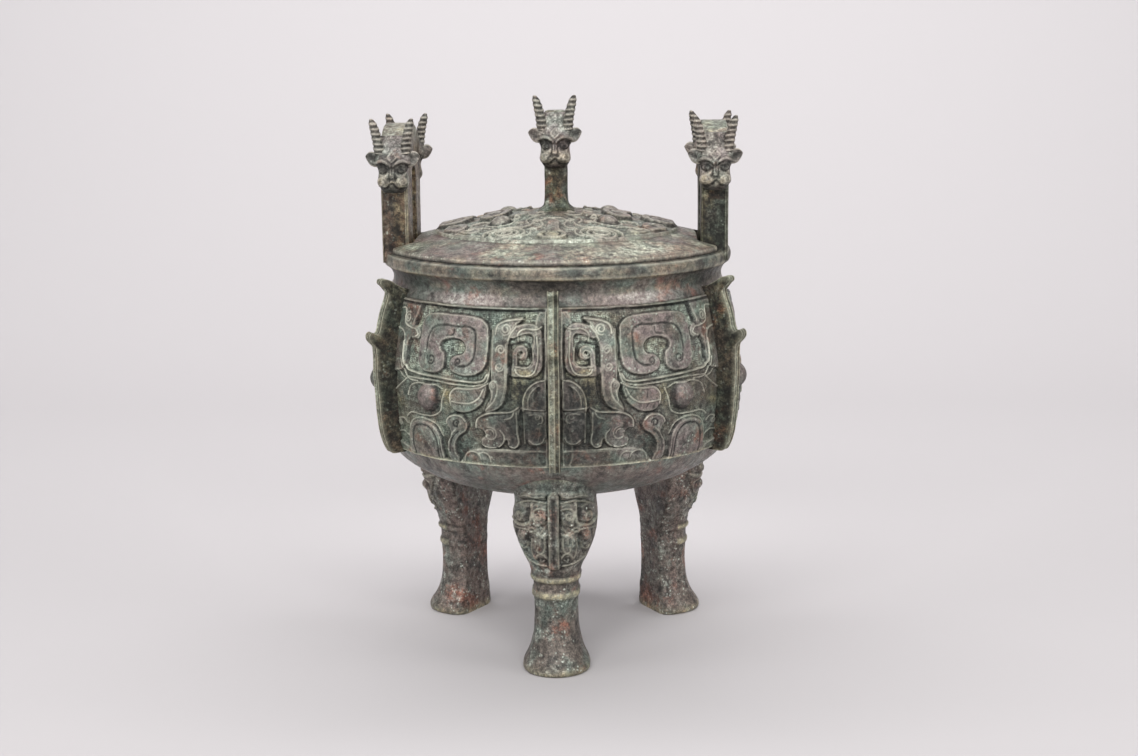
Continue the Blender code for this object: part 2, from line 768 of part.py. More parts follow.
def knob(group):
    """Square post with a spread foot, cut corners and a rounded top, and a head on its front."""
    foot = lid_height(0.0)
    sections = [(foot + rise * MM, share) for rise, share in KNOB_FOOT]
    sections += [(KNOB_TOP - drop * MM, share) for drop, share in KNOB_CROWN]
    rings = []
    for height, share in sections:
        x = KNOB_HALF_WIDTH * share
        y = KNOB_HALF_DEPTH * share
        cut = KNOB_CORNER * share
        quarter = [(x - cut, -y), (x, cut - y), (x, y - cut), (x - cut, y)]
        other = [(-across, deep) for across, deep in reversed(quarter)]
        rings.append([(across, deep, height) for across, deep in quarter + other])
    post = lofted("knob", rings, group)
    face = head(KNOB_EYE_HEIGHT, group)
    face.data.transform(Matrix.Translation((0.0, -KNOB_HALF_DEPTH, 0.0)))
    return combine(post, face, "UNION", overlapping=True)


def build_lid(group):
    """Shallow domed lid with a locating ring below, notched for the handles, with a knob."""
    lid = turned("lid", lid_outline(), group)
    lid = combine(lid, lid_relief(group), "UNION", overlapping=True)
    for side in (-1.0, 1.0):
        lid = combine(lid, notch(side, group), "DIFFERENCE")
    return combine(lid, knob(group), "UNION")


def main():
    clear_scene()
    group = new_collection("bronze_ding")
    vessel = build_vessel(group)
    vessel.data.materials.append(bronze("vessel_bronze", (0.075, 0.078, 0.064), 0.62))
    lid = build_lid(group)
    lid.data.materials.append(bronze("lid_bronze", (0.095, 0.092, 0.075), 0.6))


main()
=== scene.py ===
import math

import bpy
import numpy as np
from mathutils import Matrix


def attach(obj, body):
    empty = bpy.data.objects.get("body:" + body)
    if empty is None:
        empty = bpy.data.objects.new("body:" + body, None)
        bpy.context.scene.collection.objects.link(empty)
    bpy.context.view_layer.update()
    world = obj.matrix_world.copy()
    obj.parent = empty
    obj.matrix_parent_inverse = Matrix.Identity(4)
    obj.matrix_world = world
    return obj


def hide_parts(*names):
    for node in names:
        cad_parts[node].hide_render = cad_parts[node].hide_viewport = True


# Lidded bronze ding on three legs. Lengths here are millimetres and angles degrees, unless a note
# says otherwise; meshes, lights and the camera are handed over in metres. The front is -Y.
mm = 0.001

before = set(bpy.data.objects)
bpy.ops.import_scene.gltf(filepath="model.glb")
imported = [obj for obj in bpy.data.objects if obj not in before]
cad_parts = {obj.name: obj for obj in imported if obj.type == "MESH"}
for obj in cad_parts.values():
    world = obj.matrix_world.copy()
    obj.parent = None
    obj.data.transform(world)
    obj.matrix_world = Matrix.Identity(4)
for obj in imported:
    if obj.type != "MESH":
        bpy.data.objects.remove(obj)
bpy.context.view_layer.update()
scene = bpy.context.scene
print("frame loaded:", sorted(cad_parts))


def smoothStep(low, high, x):
    # 0 up to low, 1 from high on, and 3 t^2 - 2 t^3 between them
    t = np.clip((x - low) / (high - low), 0.0, 1.0)
    return t * t * (3.0 - 2.0 * t)


def hump(x, middle, wide, power=2):
    # 1 at the middle, falling off on both sides as exp(-(distance / wide)^power)
    return np.exp(-(((x - middle) / wide) ** power))


def latticeNoise(x, y, z, size, seed):
    # every corner of a cube lattice holds a fixed value from -1 to 1, and the eight corners round a
    # point are mixed by the smooth share of the way between them
    spots = [np.asarray(v, float) / size + 41.0 for v in (x, y, z)]
    low = [np.floor(v).astype(np.int64) for v in spots]
    ease = [smoothStep(0.0, 1.0, v - c) for v, c in zip(spots, low)]
    total = np.zeros(np.broadcast(*spots).shape)
    for i, j, k in np.ndindex(2, 2, 2):
        mixed = (low[0] + i) * 73856093 ^ (low[1] + j) * 19349663 ^ (low[2] + k) * 83492791
        mixed = mixed ^ (seed * 668265263)
        mixed = (mixed ^ (mixed >> 15)) * 2246822519 & 0x7FFFFFFF
        mixed = (mixed ^ (mixed >> 13)) * 3266489917 & 0x7FFFFFFF
        share = (ease[0] if i else 1.0 - ease[0]) * (ease[1] if j else 1.0 - ease[1])
        total += share * (ease[2] if k else 1.0 - ease[2]) * ((mixed % 20011) / 10005.5 - 1.0)
    return total


def layeredNoise(x, y, z, size, seed, layers=3):
    # a sum of lattice noises, each half as large and half as strong as the one before
    total = 0.0
    for layer in range(layers):
        total = total + 0.5**layer * latticeNoise(x, y, z, size * 0.5**layer, seed + layer)
    return total / (2.0 - 0.5 ** (layers - 1))


def smoothPath(points, closed=False, spacing=1.1):
    # a cubic through every point; it leans there along the slopes on both sides, each weighted by
    # the length of the other side
    p = np.asarray(points, float)
    if closed:
        p = np.vstack([p[-1:], p, p[:2]])
    else:
        p = np.vstack([2.0 * p[:1] - p[1:2], p, 2.0 * p[-1:] - p[-2:-1]])
    step = np.maximum(np.linalg.norm(np.diff(p, axis=0), axis=1), 1e-9)[:, None]
    slope = np.diff(p, axis=0) / step
    lean = (slope[:-1] * step[1:] + slope[1:] * step[:-1]) / (step[:-1] + step[1:])
    count = max(2, int(np.ceil(np.median(step[1:-1]) / spacing)) + 1)
    t = np.linspace(0.0, 1.0, count, endpoint=False)[None, :, None]
    start, end, reach = p[1:-2][:, None], p[2:-1][:, None], step[1:-1][:, None]
    curve = (2 * t**3 - 3 * t**2 + 1) * start + (t**3 - 2 * t**2 + t) * reach * lean[:-1][:, None]
    curve = curve + (3 * t**2 - 2 * t**3) * end + (t**3 - t**2) * reach * lean[1:][:, None]
    return np.vstack([curve.reshape(-1, p.shape[1]), p[-2:-1]])


def pointsAlong(path, shares):
    # points of a path at shares of its length
    run = np.concatenate([[0.0], np.cumsum(np.linalg.norm(np.diff(path, axis=0), axis=1))])
    return np.stack([np.interp(shares * run[-1], run, column) for column in path.T], axis=1)


def evenPath(path, count):
    # the same path with its points at even distances along it
    return pointsAlong(path, np.linspace(0.0, 1.0, count))


def readProfile(profile, at, spacing=0.5):
    # the other columns of a smoothed profile at places along its first one, each as an upright row
    shape = smoothPath(profile, spacing=spacing)
    return [np.interp(at, shape[:, 0], column)[:, None] for column in shape.T[1:]]


def curl(centre, outer, inner, start, turns):
    # a spiral: the radius goes evenly from outer to inner while the angle goes round
    t = np.linspace(0.0, 1.0, 26)
    angle = np.radians(start) + 2.0 * np.pi * turns * t
    radius = outer + (inner - outer) * t
    return np.stack([centre[0] + radius * np.cos(angle), centre[1] + radius * np.sin(angle)], axis=1)


def oval(centre, across, up):
    # a closed curve with these two radii
    return curl((0.0, 0.0), 1.0, 1.0, 0, 1.0) * (across, up) + centre


def newSheet(x0, x1, y0, y1, cell):
    # a flat drawing board for carving, as layers of numbers on an even grid
    x, y = np.meshgrid(np.arange(x0, x1 + cell / 2, cell), np.arange(y0, y1 + cell / 2, cell))
    names = ("slab", "ridge", "line", "edge", "brim", "groove", "tint", "ochre", "shade")
    return {"x": x, "y": y, "x0": x0, "y0": y0, "cell": cell, **{name: np.zeros(x.shape) for name in names}}


def windowOf(sheet, path, reach):
    # the rows and columns of the sheet within reach of the path, and the sheet's places there
    origin = np.array([sheet["x0"], sheet["y0"]])
    low = (path.min(0) - reach - origin) / sheet["cell"]
    high = (path.max(0) + reach - origin) / sheet["cell"] + 2
    rows, columns = (slice(int(np.clip(low[i], 0, limit)), int(np.clip(high[i], 0, limit)))
                     for i, limit in zip((1, 0), sheet["x"].shape))
    return (rows, columns), sheet["x"][rows, columns], sheet["y"][rows, columns]


def distanceTo(x, y, path):
    # the nearest point of each straight stretch, held between its ends, and the least of them all
    best = np.full(x.shape, 1e9)
    for (ax, ay), (bx, by) in zip(path[:-1], path[1:]):
        dx, dy = bx - ax, by - ay
        share = np.clip(((x - ax) * dx + (y - ay) * dy) / max(dx * dx + dy * dy, 1e-12), 0.0, 1.0)
        best = np.minimum(best, (x - ax - share * dx) ** 2 + (y - ay - share * dy) ** 2)
    return np.sqrt(best)


def signedTo(x, y, path):
    # distance to a closed path, negative inside, where a ray along x crosses it an odd number of times
    inside = np.zeros(x.shape, bool)
    for (ax, ay), (bx, by) in zip(path[:-1], path[1:]):
        if ay != by:
            inside ^= ((ay > y) != (by > y)) & (x < (bx - ax) * (y - ay) / (by - ay) + ax)
    return np.where(inside, -1.0, 1.0) * distanceTo(x, y, path)


def raiseLayer(sheet, layer, w, values):
    # in a window of the sheet the higher of the two numbers stays
    sheet[layer][w] = np.maximum(sheet[layer][w], values)


def raiseSlab(sheet, points, height, edge, tint, width=None):
    # height times a smooth step over the edge, which is the closed outline, or else lies half the
    # width from the path
    path = smoothPath(points, closed=width is None)
    w, x, y = windowOf(sheet, path, (width or 0.0) / 2 + edge + 1.0)
    away = signedTo(x, y, path) if width is None else distanceTo(x, y, path) - width / 2
    share = smoothStep(edge / 2, -edge / 2, away)
    raiseLayer(sheet, "slab", w, height * share)
    # a thin line just inside the outline, lightened later as wear and painted highlight
    raiseLayer(sheet, "brim", w, hump(away, -0.55, 0.38))
    sheet["tint"][w] = np.where(share > 0.3, tint, sheet["tint"][w])


def drawRidge(sheet, points, width, height, plain=False):
    # a raised line: height times exp(-(distance / half the width)^2)
    path = np.asarray(points, float) if plain else smoothPath(points)
    w, x, y = windowOf(sheet, path, 2.0 * width)
    away = distanceTo(x, y, path)
    strength = min(1.0, height / 0.7)
    raiseLayer(sheet, "ridge", w, height * hump(away, 0.0, 0.5 * width))
    raiseLayer(sheet, "line", w, strength * hump(away, 0.0, 0.42 * width))
    # a painted shadow line along both sides, just outside the ridge
    raiseLayer(sheet, "edge", w, strength * hump(away, 0.85 * width, 0.36 * width))


def cutGroove(sheet, points, width, depth, plain=False):
    # a sunk line with the same section, turned down
    path = np.asarray(points, float) if plain else smoothPath(points)
    w, x, y = windowOf(sheet, path, 2.0 * width)
    raiseLayer(sheet, "groove", w, depth * hump(distanceTo(x, y, path), 0.0, 0.5 * width))


def raiseBoss(sheet, centre, radii, stand, power, tint=0.0):
    # a dome: stand times (1 - q^2)^power, with q the distance from the centre in radii
    q = np.hypot((sheet["x"] - centre[0]) / radii[0], (sheet["y"] - centre[1]) / radii[1])
    raiseLayer(sheet, "slab", ..., stand * np.clip(1.0 - q * q, 0.0, None) ** power)
    sheet["tint"] = np.where(q < 0.97, tint, sheet["tint"])


def drawStrokes(sheet, place, edge, curlLine, bosses, ridges, grooves, curls, slabs=(), bands=(),
                thinner=1.0):
    # slabs first, then bands and domes, then lines; place brings the drawing's points to the sheet
    for outline, height, tint in slabs:
        raiseSlab(sheet, place(outline), height, edge, tint)
    for path, width, height, tint in bands:
        raiseSlab(sheet, place(path), height, edge, tint, width)
    for centre, radii, stand, power, tint in bosses:
        raiseBoss(sheet, place(centre), radii, stand, power, tint)
    for path, width, height in ridges:
        drawRidge(sheet, place(path), thinner * width, height)
    for path, width, depth in grooves:
        cutGroove(sheet, place(path), width, depth)
    for centre, *facts in curls:
        drawRidge(sheet, curl(place(centre), *facts), *curlLine, plain=True)


def softened(layer, rounds):
    # each number is mixed with its four neighbours, this many times
    for _ in range(rounds):
        p = np.pad(layer, 1, mode="edge")
        layer = 0.4 * layer + 0.15 * (p[:-2, 1:-1] + p[2:, 1:-1] + p[1:-1, :-2] + p[1:-1, 2:])
    return layer


def finishSheet(sheet, rounds=14, sideShare=1.0):
    # adds the layers up; painted shade and grime lie in grooves, on the slabs' steep sides, beside ridges and
    # wherever the height is under the softened height, and light wear, partly painted highlight, on ridges
    # and on the slabs' upper edges
    sheet["height"] = softened(sheet["slab"] + sheet["ridge"] - sheet["groove"], 1)
    over = sheet["height"] - softened(sheet["height"], rounds)
    fallY, fallX = np.gradient(sheet["slab"], sheet["cell"])
    # painted shade on steep sides: those facing downwards count more, and those facing +x too when the side
    # share is under one
    steep = np.hypot(np.where(fallX < 0.0, 1.0, sideShare) * fallX, np.where(fallY > 0.0, 0.9, 0.6) * fallY)
    side = smoothStep(0.6, 1.5, steep)
    line = sheet["line"]
    cut = np.clip(sheet["groove"] / 0.4, 0.0, 1.0)
    deep = np.maximum(np.maximum(cut, 0.9 * side), np.maximum(-over / 0.5, 0.75 * sheet["edge"]))
    sheet["hollow"] = np.clip(deep - 0.9 * line, 0.0, 1.0)
    top = np.maximum(over / 0.8, 0.5 * sheet["brim"] * smoothStep(0.3, 0.7, sheet["slab"]))
    sheet["crest"] = np.clip(np.maximum(line, top) - 0.7 * cut - 0.4 * side, 0.0, 1.0)
    sheet["ground"] = (1.0 - smoothStep(0.15, 0.75, sheet["slab"])) * (1.0 - line)
    return sheet


def readSheet(sheet, x, y, *names):
    # the named layers at any point, mixed from the four numbers round it
    rows, columns = sheet["x"].shape
    column = np.clip((x - sheet["x0"]) / sheet["cell"], 0.0, columns - 1.001)
    row = np.clip((y - sheet["y0"]) / sheet["cell"], 0.0, rows - 1.001)
    i, j = row.astype(int), column.astype(int)
    u, v = row - i, column - j
    values = []
    for name in names:
        low, high = (sheet[name][i + k, j] * (1.0 - v) + sheet[name][i + k, j + 1] * v for k in (0, 1))
        values.append(low * (1.0 - u) + high * u)
    return values


def gridFaces(rows, columns, first=0, wrap=False):
    # corner numbers of every cell of a grid whose points are numbered row by row
    i, j = np.meshgrid(np.arange(rows - 1), np.arange(columns if wrap else columns - 1), indexing="ij")
    k = (j + 1) % columns
    corners = [i * columns + j, i * columns + k, (i + 1) * columns + k, (i + 1) * columns + j]
    return first + np.stack([c.ravel() for c in corners], axis=1)


def tubeFaces(rows, columns):
    # a closed tube of rows, with a flat end at both
    number = np.arange(rows * columns).reshape(rows, columns)
    return [gridFaces(rows, columns, wrap=True), number[0][None, ::-1], number[-1][None, :]]


def joinRows(low, high, wrap=False):
    # one strip of four-sided faces between two rows of point numbers
    faces = np.stack([low, np.roll(low, -1), np.roll(high, -1), high], axis=1)
    return faces if wrap else faces[:-1]


def fanFaces(row, pole):
    # triangles from a closed row of point numbers to one pole
    return np.stack([row, np.roll(row, -1), np.full(len(row), pole)], axis=1)


def asPoints(x, y, z):
    # three grids of numbers as one list of points
    return np.stack(np.broadcast_arrays(x, y, z), axis=-1).reshape(-1, 3)


def boxedVolume(points, faces):
    # the sum over all faces of the volume between each of their triangles and the origin
    total = 0.0
    for group in faces:
        for k in range(1, group.shape[1] - 1):
            a, b, c = points[group[:, 0]], points[group[:, k]], points[group[:, k + 1]]
            total += np.einsum("ij,ij->i", a, np.cross(b, c)).sum()
    return total


vesselPart, lidPart = ("vessel_bronze", "vessel"), ("lid_bronze", "lid")


def addPiece(name, points, faces, patina, wearAndSheen, material, part, sharp=60.0, flat=None, ground=None):
    # a new mesh from points in millimetres; its faces are turned round if its volume comes out
    # negative, and points beyond the lists of patina, wear with painted sheen, ground and flat have zeros
    faces = [np.asarray(group) for group in faces]
    if boxedVolume(points - points.mean(0), faces) < 0.0:
        faces = [group[:, ::-1] for group in faces]
    mesh = bpy.data.meshes.new(name)
    mesh.vertices.add(len(points))
    mesh.vertices.foreach_set("co", (points * mm).astype(np.float32).ravel())
    corners = np.concatenate([group.ravel() for group in faces]).astype(np.int32)
    sizes = np.concatenate([np.full(len(group), group.shape[1]) for group in faces])
    mesh.loops.add(len(corners))
    mesh.loops.foreach_set("vertex_index", corners)
    mesh.polygons.add(len(sizes))
    mesh.polygons.foreach_set("loop_start", (np.cumsum(sizes) - sizes).astype(np.int32))
    mesh.update(calc_edges=True)
    mesh.polygons.foreach_set("use_smooth", np.ones(len(sizes), bool))
    for label, kind, word, width, shares in (
            ("patina", "FLOAT_COLOR", "color", 4, patina), ("wearAndSheen", "FLOAT", "value", 1, wearAndSheen),
            ("ground", "FLOAT", "value", 1, ground)):
        if shares is not None:
            values = np.zeros(len(points) * width, np.float32)
            values[:shares.size] = np.clip(shares, 0.0, 1.0).ravel()
            mesh.attributes.new(label, kind, "POINT").data.foreach_set(word, values)
    if flat is not None:
        places = np.zeros((len(points), 2))
        places[:len(flat)] = flat * 0.01
        carving = mesh.uv_layers.new(name="carving")
        carving.data.foreach_set("uv", places[corners].astype(np.float32).ravel())
    mesh.validate()
    mesh.set_sharp_from_angle(angle=math.radians(sharp))
    mesh.materials.append(material)
    piece = bpy.data.objects.new(name, mesh)
    scene.collection.objects.link(piece)
    slot, node = part
    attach(piece, "root")
    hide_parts(node)
    print(f"{name}: {int((sizes - 2).sum())} triangles")


def patinaOf(tint, pale, ochre, dark):
    # four shares for each point: brown skin, pale green crust, ochre crust, and grime with painted shade
    return np.stack(np.broadcast_arrays(tint, pale, ochre, dark), axis=-1).reshape(-1, 4)


def turnedTo(points, angle):
    # points made for the front (-Y), turned by an angle from the front towards +X
    a = math.radians(angle)
    x, y, z = points.T
    return asPoints(x * math.cos(a) - y * math.sin(a), x * math.sin(a) + y * math.cos(a), z)


def castWobble(points):
    # the slow unevenness of a hand-made casting, the same for every piece at the same place
    return 0.22 * layeredNoise(*points.T, 26.0, 5, 2)


# Materials: one patina, mixed in different shares for each group of pieces. Colours, then shares.
# the worn colour lightens worn lines and painted highlights; the grime colour darkens grime and painted shade
patinaLook = {
    "body": dict(black=(0.020, 0.019, 0.016), brown=(0.118, 0.103, 0.080), teal=(0.114, 0.150, 0.122),
                 pale=(0.44, 0.52, 0.43), skin=(0.180, 0.140, 0.134), ochre=(0.34, 0.29, 0.15),
                 rust=(0.18, 0.078, 0.052), grimeAndShade=(0.008, 0.009, 0.008), wornAndSheen=(0.70, 0.70, 0.57),
                 tealShare=0.5, rustShare=0.65, blackShare=0.65, speckle=0.45, contrast=0.95, gloss=0.38,
                 metal=0.25, shine=0.5),
    # the neck's light pink skin colour is partly a painted highlight on the neck's band
    "neck": dict(black=(0.032, 0.028, 0.026), brown=(0.140, 0.116, 0.098), teal=(0.122, 0.148, 0.124),
                 pale=(0.42, 0.46, 0.40), skin=(0.34, 0.262, 0.254), ochre=(0.30, 0.235, 0.14),
                 rust=(0.24, 0.098, 0.072), grimeAndShade=(0.012, 0.013, 0.012), wornAndSheen=(0.52, 0.52, 0.43),
                 tealShare=0.45, rustShare=0.6, blackShare=0.6, speckle=0.08, contrast=0.8, gloss=0.34,
                 metal=0.30, shine=0.5),
    "leg": dict(black=(0.016, 0.016, 0.015), brown=(0.108, 0.092, 0.077), teal=(0.094, 0.118, 0.100),
                pale=(0.42, 0.46, 0.40), skin=(0.150, 0.104, 0.090), ochre=(0.36, 0.31, 0.16),
                rust=(0.20, 0.076, 0.048), grimeAndShade=(0.009, 0.009, 0.008), wornAndSheen=(0.50, 0.49, 0.38),
                tealShare=0.45, rustShare=0.65, blackShare=0.8, speckle=0.75, contrast=1.25, gloss=0.42,
                metal=0.25, shine=0.45),
    "dark": dict(black=(0.011, 0.010, 0.009), brown=(0.076, 0.060, 0.044), teal=(0.060, 0.078, 0.058),
                 pale=(0.38, 0.43, 0.36), skin=(0.118, 0.062, 0.043), ochre=(0.32, 0.27, 0.13),
                 rust=(0.17, 0.062, 0.034), grimeAndShade=(0.006, 0.006, 0.005), wornAndSheen=(0.44, 0.43, 0.33),
                 tealShare=0.5, rustShare=0.5, blackShare=0.9, speckle=0.45, contrast=1.3, gloss=0.40,
                 metal=0.2, shine=0.28),
    "head": dict(black=(0.018, 0.016, 0.014), brown=(0.150, 0.124, 0.104), teal=(0.128, 0.142, 0.122),
                 pale=(0.44, 0.45, 0.40), skin=(0.205, 0.165, 0.165), ochre=(0.44, 0.37, 0.24),
                 rust=(0.17, 0.080, 0.052), grimeAndShade=(0.009, 0.008, 0.007), wornAndSheen=(0.56, 0.52, 0.44),
                 tealShare=0.45, rustShare=0.5, blackShare=0.8, speckle=0.3, contrast=1.2, gloss=0.38,
                 metal=0.2, shine=0.4),
    "lid": dict(black=(0.024, 0.021, 0.018), brown=(0.144, 0.112, 0.095), teal=(0.138, 0.158, 0.130),
                pale=(0.46, 0.51, 0.42), skin=(0.165, 0.124, 0.116), ochre=(0.38, 0.32, 0.18),
                rust=(0.22, 0.094, 0.066), grimeAndShade=(0.010, 0.010, 0.009), wornAndSheen=(0.56, 0.54, 0.44),
                tealShare=0.5, rustShare=0.7, blackShare=0.75, speckle=0.55, contrast=1.1, gloss=0.42,
                metal=0.20, shine=0.45),
}


def plug(tree, socket, value):
    # a link from another node's output, or else a fixed value; colours are given as three numbers
    if isinstance(value, bpy.types.NodeSocket):
        tree.links.new(value, socket)
    else:
        socket.default_value = (*value, 1.0) if socket.type == "RGBA" else value


def newNode(tree, kind, **values):
    # a shader node; names with a capital are its sockets, the rest its settings
    node = tree.nodes.new(kind)
    for key, value in values.items():
        if key[0].isupper():
            plug(tree, node.inputs[key.replace("_", " ")], value)
        else:
            setattr(node, key, value)
    return node


def spread(tree, value, low, high, bottom=0.0, top=1.0):
    # a value from low to high becomes one from bottom to top, and stops there
    return newNode(tree, "ShaderNodeMapRange", clamp=True, Value=value, From_Min=low, From_Max=high,
                   To_Min=bottom, To_Max=top).outputs["Result"]


def noiseField(tree, vector, scale, detail, roughness, low, high):
    # a noise over object coordinates, spread so that low becomes 0 and high becomes 1
    noise = newNode(tree, "ShaderNodeTexNoise", Vector=vector, Scale=scale, Detail=detail,
                    Roughness=roughness)
    return spread(tree, noise.outputs["Fac"], low, high)


def combine(tree, operation, a, b=0.0, clamped=True):
    # a sum, product or other of two values, each a socket or a number
    node = newNode(tree, "ShaderNodeMath", operation=operation, use_clamp=clamped)
    plug(tree, node.inputs[0], a)
    plug(tree, node.inputs[1], b)
    return node.outputs[0]


def blendColour(tree, share, a, b, mode="MIX"):
    # colour a turned into b by a share; either may be a socket or three numbers
    node = newNode(tree, "ShaderNodeMix", data_type="RGBA", blend_type=mode)
    for number, value in ((0, share), (6, a), (7, b)):
        plug(tree, node.inputs[number], value)
    return node.outputs[2]


def pieceShare(tree, name):
    # one share that every point of the piece carries
    return newNode(tree, "ShaderNodeAttribute", attribute_name=name).outputs["Fac"]


def patinaBronze(name, look, carved, shift):
    # old cast bronze: brown and teal zones broken by mottling, a purple-brown skin on high places, pale
    # and ochre crust, blushes of rust, black and pale specks, light worn lines that are partly painted
    # highlight, and grime with painted shade in low places; the shift moves the patterns, so that the groups
    # of pieces aren't stained alike
    material = bpy.data.materials.new(name)
    material.use_nodes = True
    tree = material.node_tree
    shader = tree.nodes["Principled BSDF"]
    where = newNode(tree, "ShaderNodeTexCoord").outputs["Object"]
    moved = newNode(tree, "ShaderNodeMapping", Vector=where, Location=(shift, 0.37 * shift, 0.61 * shift))
    at = moved.outputs["Vector"]
    marks = newNode(tree, "ShaderNodeAttribute", attribute_name="patina")
    tint, pale, ochre = newNode(tree, "ShaderNodeSeparateColor", Color=marks.outputs["Color"]).outputs
    grimeAndShade = marks.outputs["Alpha"]

    def times(a, b):
        # a b, held between 0 and 1
        return combine(tree, "MULTIPLY", a, b)

    def spot(scale, detail, roughness, low, high):
        # a noise at the shifted place, 0 up to low and 1 from high on
        return noiseField(tree, at, scale, detail, roughness, low, high)

    def coated(colour, share, coat):
        # (1 - share) colour + share coat
        return blendColour(tree, share, colour, look[coat])

    middle = 0.5 + 0.35 * (0.5 - look["tealShare"])
    zones = spot(46.0, 6.0, 0.66, middle - 0.07, middle + 0.07)
    mottle = spot(240.0, 7.0, 0.70, 0.36, 0.64)
    flecks = spot(430.0, 5.0, 0.72, 0.38, 0.62)
    grain = spot(1250.0, 3.0, 0.7, 0.32, 0.68)
    colour = blendColour(tree, zones, look["brown"], look["teal"])
    colour = coated(colour, times(tint, spread(tree, mottle, 0.0, 1.0, 1.0, 0.5)), "skin")
    blush = spot(58.0, 8.0, 0.70, 0.63 - 0.12 * look["rustShare"], 0.70 - 0.08 * look["rustShare"])
    colour = coated(colour, times(blush, 0.72), "rust")
    colour = coated(colour, times(pale, spread(tree, flecks, 0.1, 0.9, 0.15, 1.0)), "pale")
    colour = coated(colour, times(ochre, spread(tree, mottle, 0.0, 0.8, 0.3, 1.0)), "ochre")

    # black stains, then a pale bloom with ragged edges and round pale specks inside wider patches
    stain = spot(105.0, 9.0, 0.74, 0.60 - 0.10 * look["blackShare"], 0.66 - 0.06 * look["blackShare"])
    colour = coated(colour, times(stain, 0.78), "black")
    bloom = spot(88.0, 9.0, 0.76, 0.60 - 0.04 * look["speckle"], 0.70)
    colour = coated(colour, times(bloom, look["speckle"]), "pale")
    cells = newNode(tree, "ShaderNodeTexVoronoi", Vector=at, Scale=520.0, Randomness=1.0)
    dots = spread(tree, cells.outputs["Distance"], 0.36, 0.16)
    gate = spot(130.0, 3.0, 0.6, 0.50, 0.60)
    colour = coated(colour, times(times(dots, gate), look["speckle"]), "pale")

    # light and dark grain at three sizes, worn lines with painted highlight, and grime with painted shade
    for field, strength in ((mottle, 0.30), (flecks, 0.42), (grain, 0.40)):
        strength = strength * look["contrast"]
        level = spread(tree, field, 0.0, 1.0, 1.0 - strength, 1.0 + strength)
        grey = newNode(tree, "ShaderNodeCombineColor", Red=level, Green=level, Blue=level).outputs[0]
        colour = blendColour(tree, 1.0, colour, grey, "MULTIPLY")
    colour = coated(colour, times(pieceShare(tree, "wearAndSheen"), spread(tree, mottle, 0.0, 1.0, 0.7, 1.0)), "wornAndSheen")
    dirtAndShade = times(grimeAndShade, spread(tree, flecks, 0.0, 1.0, 1.0, 0.72))
    fine = combine(tree, "ADD", times(grain, 0.3), times(flecks, 0.5), False)
    if carved:
        spirals, ground = squareSpirals(tree), pieceShare(tree, "ground")
        dirtAndShade = combine(tree, "MAXIMUM", dirtAndShade, times(spread(tree, spirals, 0.0, 1.0, 0.52, 0.0), ground))
        fine = combine(tree, "ADD", fine, times(spirals, ground), False)
    plug(tree, shader.inputs["Base Color"], coated(colour, dirtAndShade, "grimeAndShade"))

    rough = spread(tree, mottle, 0.0, 1.0, look["gloss"] + 0.14, look["gloss"] - 0.08)
    bump = newNode(tree, "ShaderNodeBump", Strength=0.6, Distance=0.0004, Height=fine)
    matt = combine(tree, "ADD", rough, times(grimeAndShade, 0.25))
    for socket, value in (("Roughness", matt), ("Metallic", look["metal"]),
                          ("Specular IOR Level", look["shine"]), ("Normal", bump.outputs["Normal"])):
        plug(tree, shader.inputs[socket], value)
    return material


def squareSpirals(tree):
    # on the piece's own map: cells of 2.8 mm with every second row shifted by half; in each the larger of
    # |x| and |y| from the middle, and a wave with one and a half rings along it, slightly shaken by a noise
    flat = newNode(tree, "ShaderNodeUVMap", uv_map="carving").outputs["UV"]
    shake = newNode(tree, "ShaderNodeTexNoise", Scale=14.0, Detail=2.0, Vector=flat).outputs["Color"]
    push = newNode(tree, "ShaderNodeVectorMath", operation="SCALE", Scale=0.012, Vector=shake)
    moved = newNode(tree, "ShaderNodeVectorMath", operation="ADD", Vector=flat)
    plug(tree, moved.inputs[1], push.outputs["Vector"])
    cell = newNode(tree, "ShaderNodeVectorMath", operation="SCALE", Scale=100.0 / 2.8,
                   Vector=moved.outputs["Vector"])
    x, y = newNode(tree, "ShaderNodeSeparateXYZ", Vector=cell.outputs["Vector"]).outputs[:2]

    def free(operation, a, b=0.0):
        # the same sums, not held between 0 and 1
        return combine(tree, operation, a, b, False)

    x = free("ADD", x, free("MULTIPLY", free("MODULO", free("FLOOR", y), 2.0), 0.5))
    sizes = [free("ABSOLUTE", free("SUBTRACT", free("FRACT", value), 0.5)) for value in (x, y)]
    wave = free("COSINE", free("MULTIPLY", free("MAXIMUM", *sizes), 2.0 * math.pi * 3.0))
    return spread(tree, wave, -0.7, 0.7)


bronze = {}
for metalName, lookName, isCarved, metalShift in (
        ("carved_bronze", "body", True, 0.0), ("leg_bronze", "leg", False, 0.4),
        ("neck_bronze", "neck", False, 0.2), ("dark_bronze", "dark", False, 0.7),
        ("head_bronze", "head", False, 0.55), ("lid_crusted_bronze", "lid", False, 0.9),
        ("lid_carved_bronze", "lid", True, 0.9)):
    bronze[metalName] = patinaBronze(metalName, patinaLook[lookName], isCarved, metalShift)
print("patinas mixed")

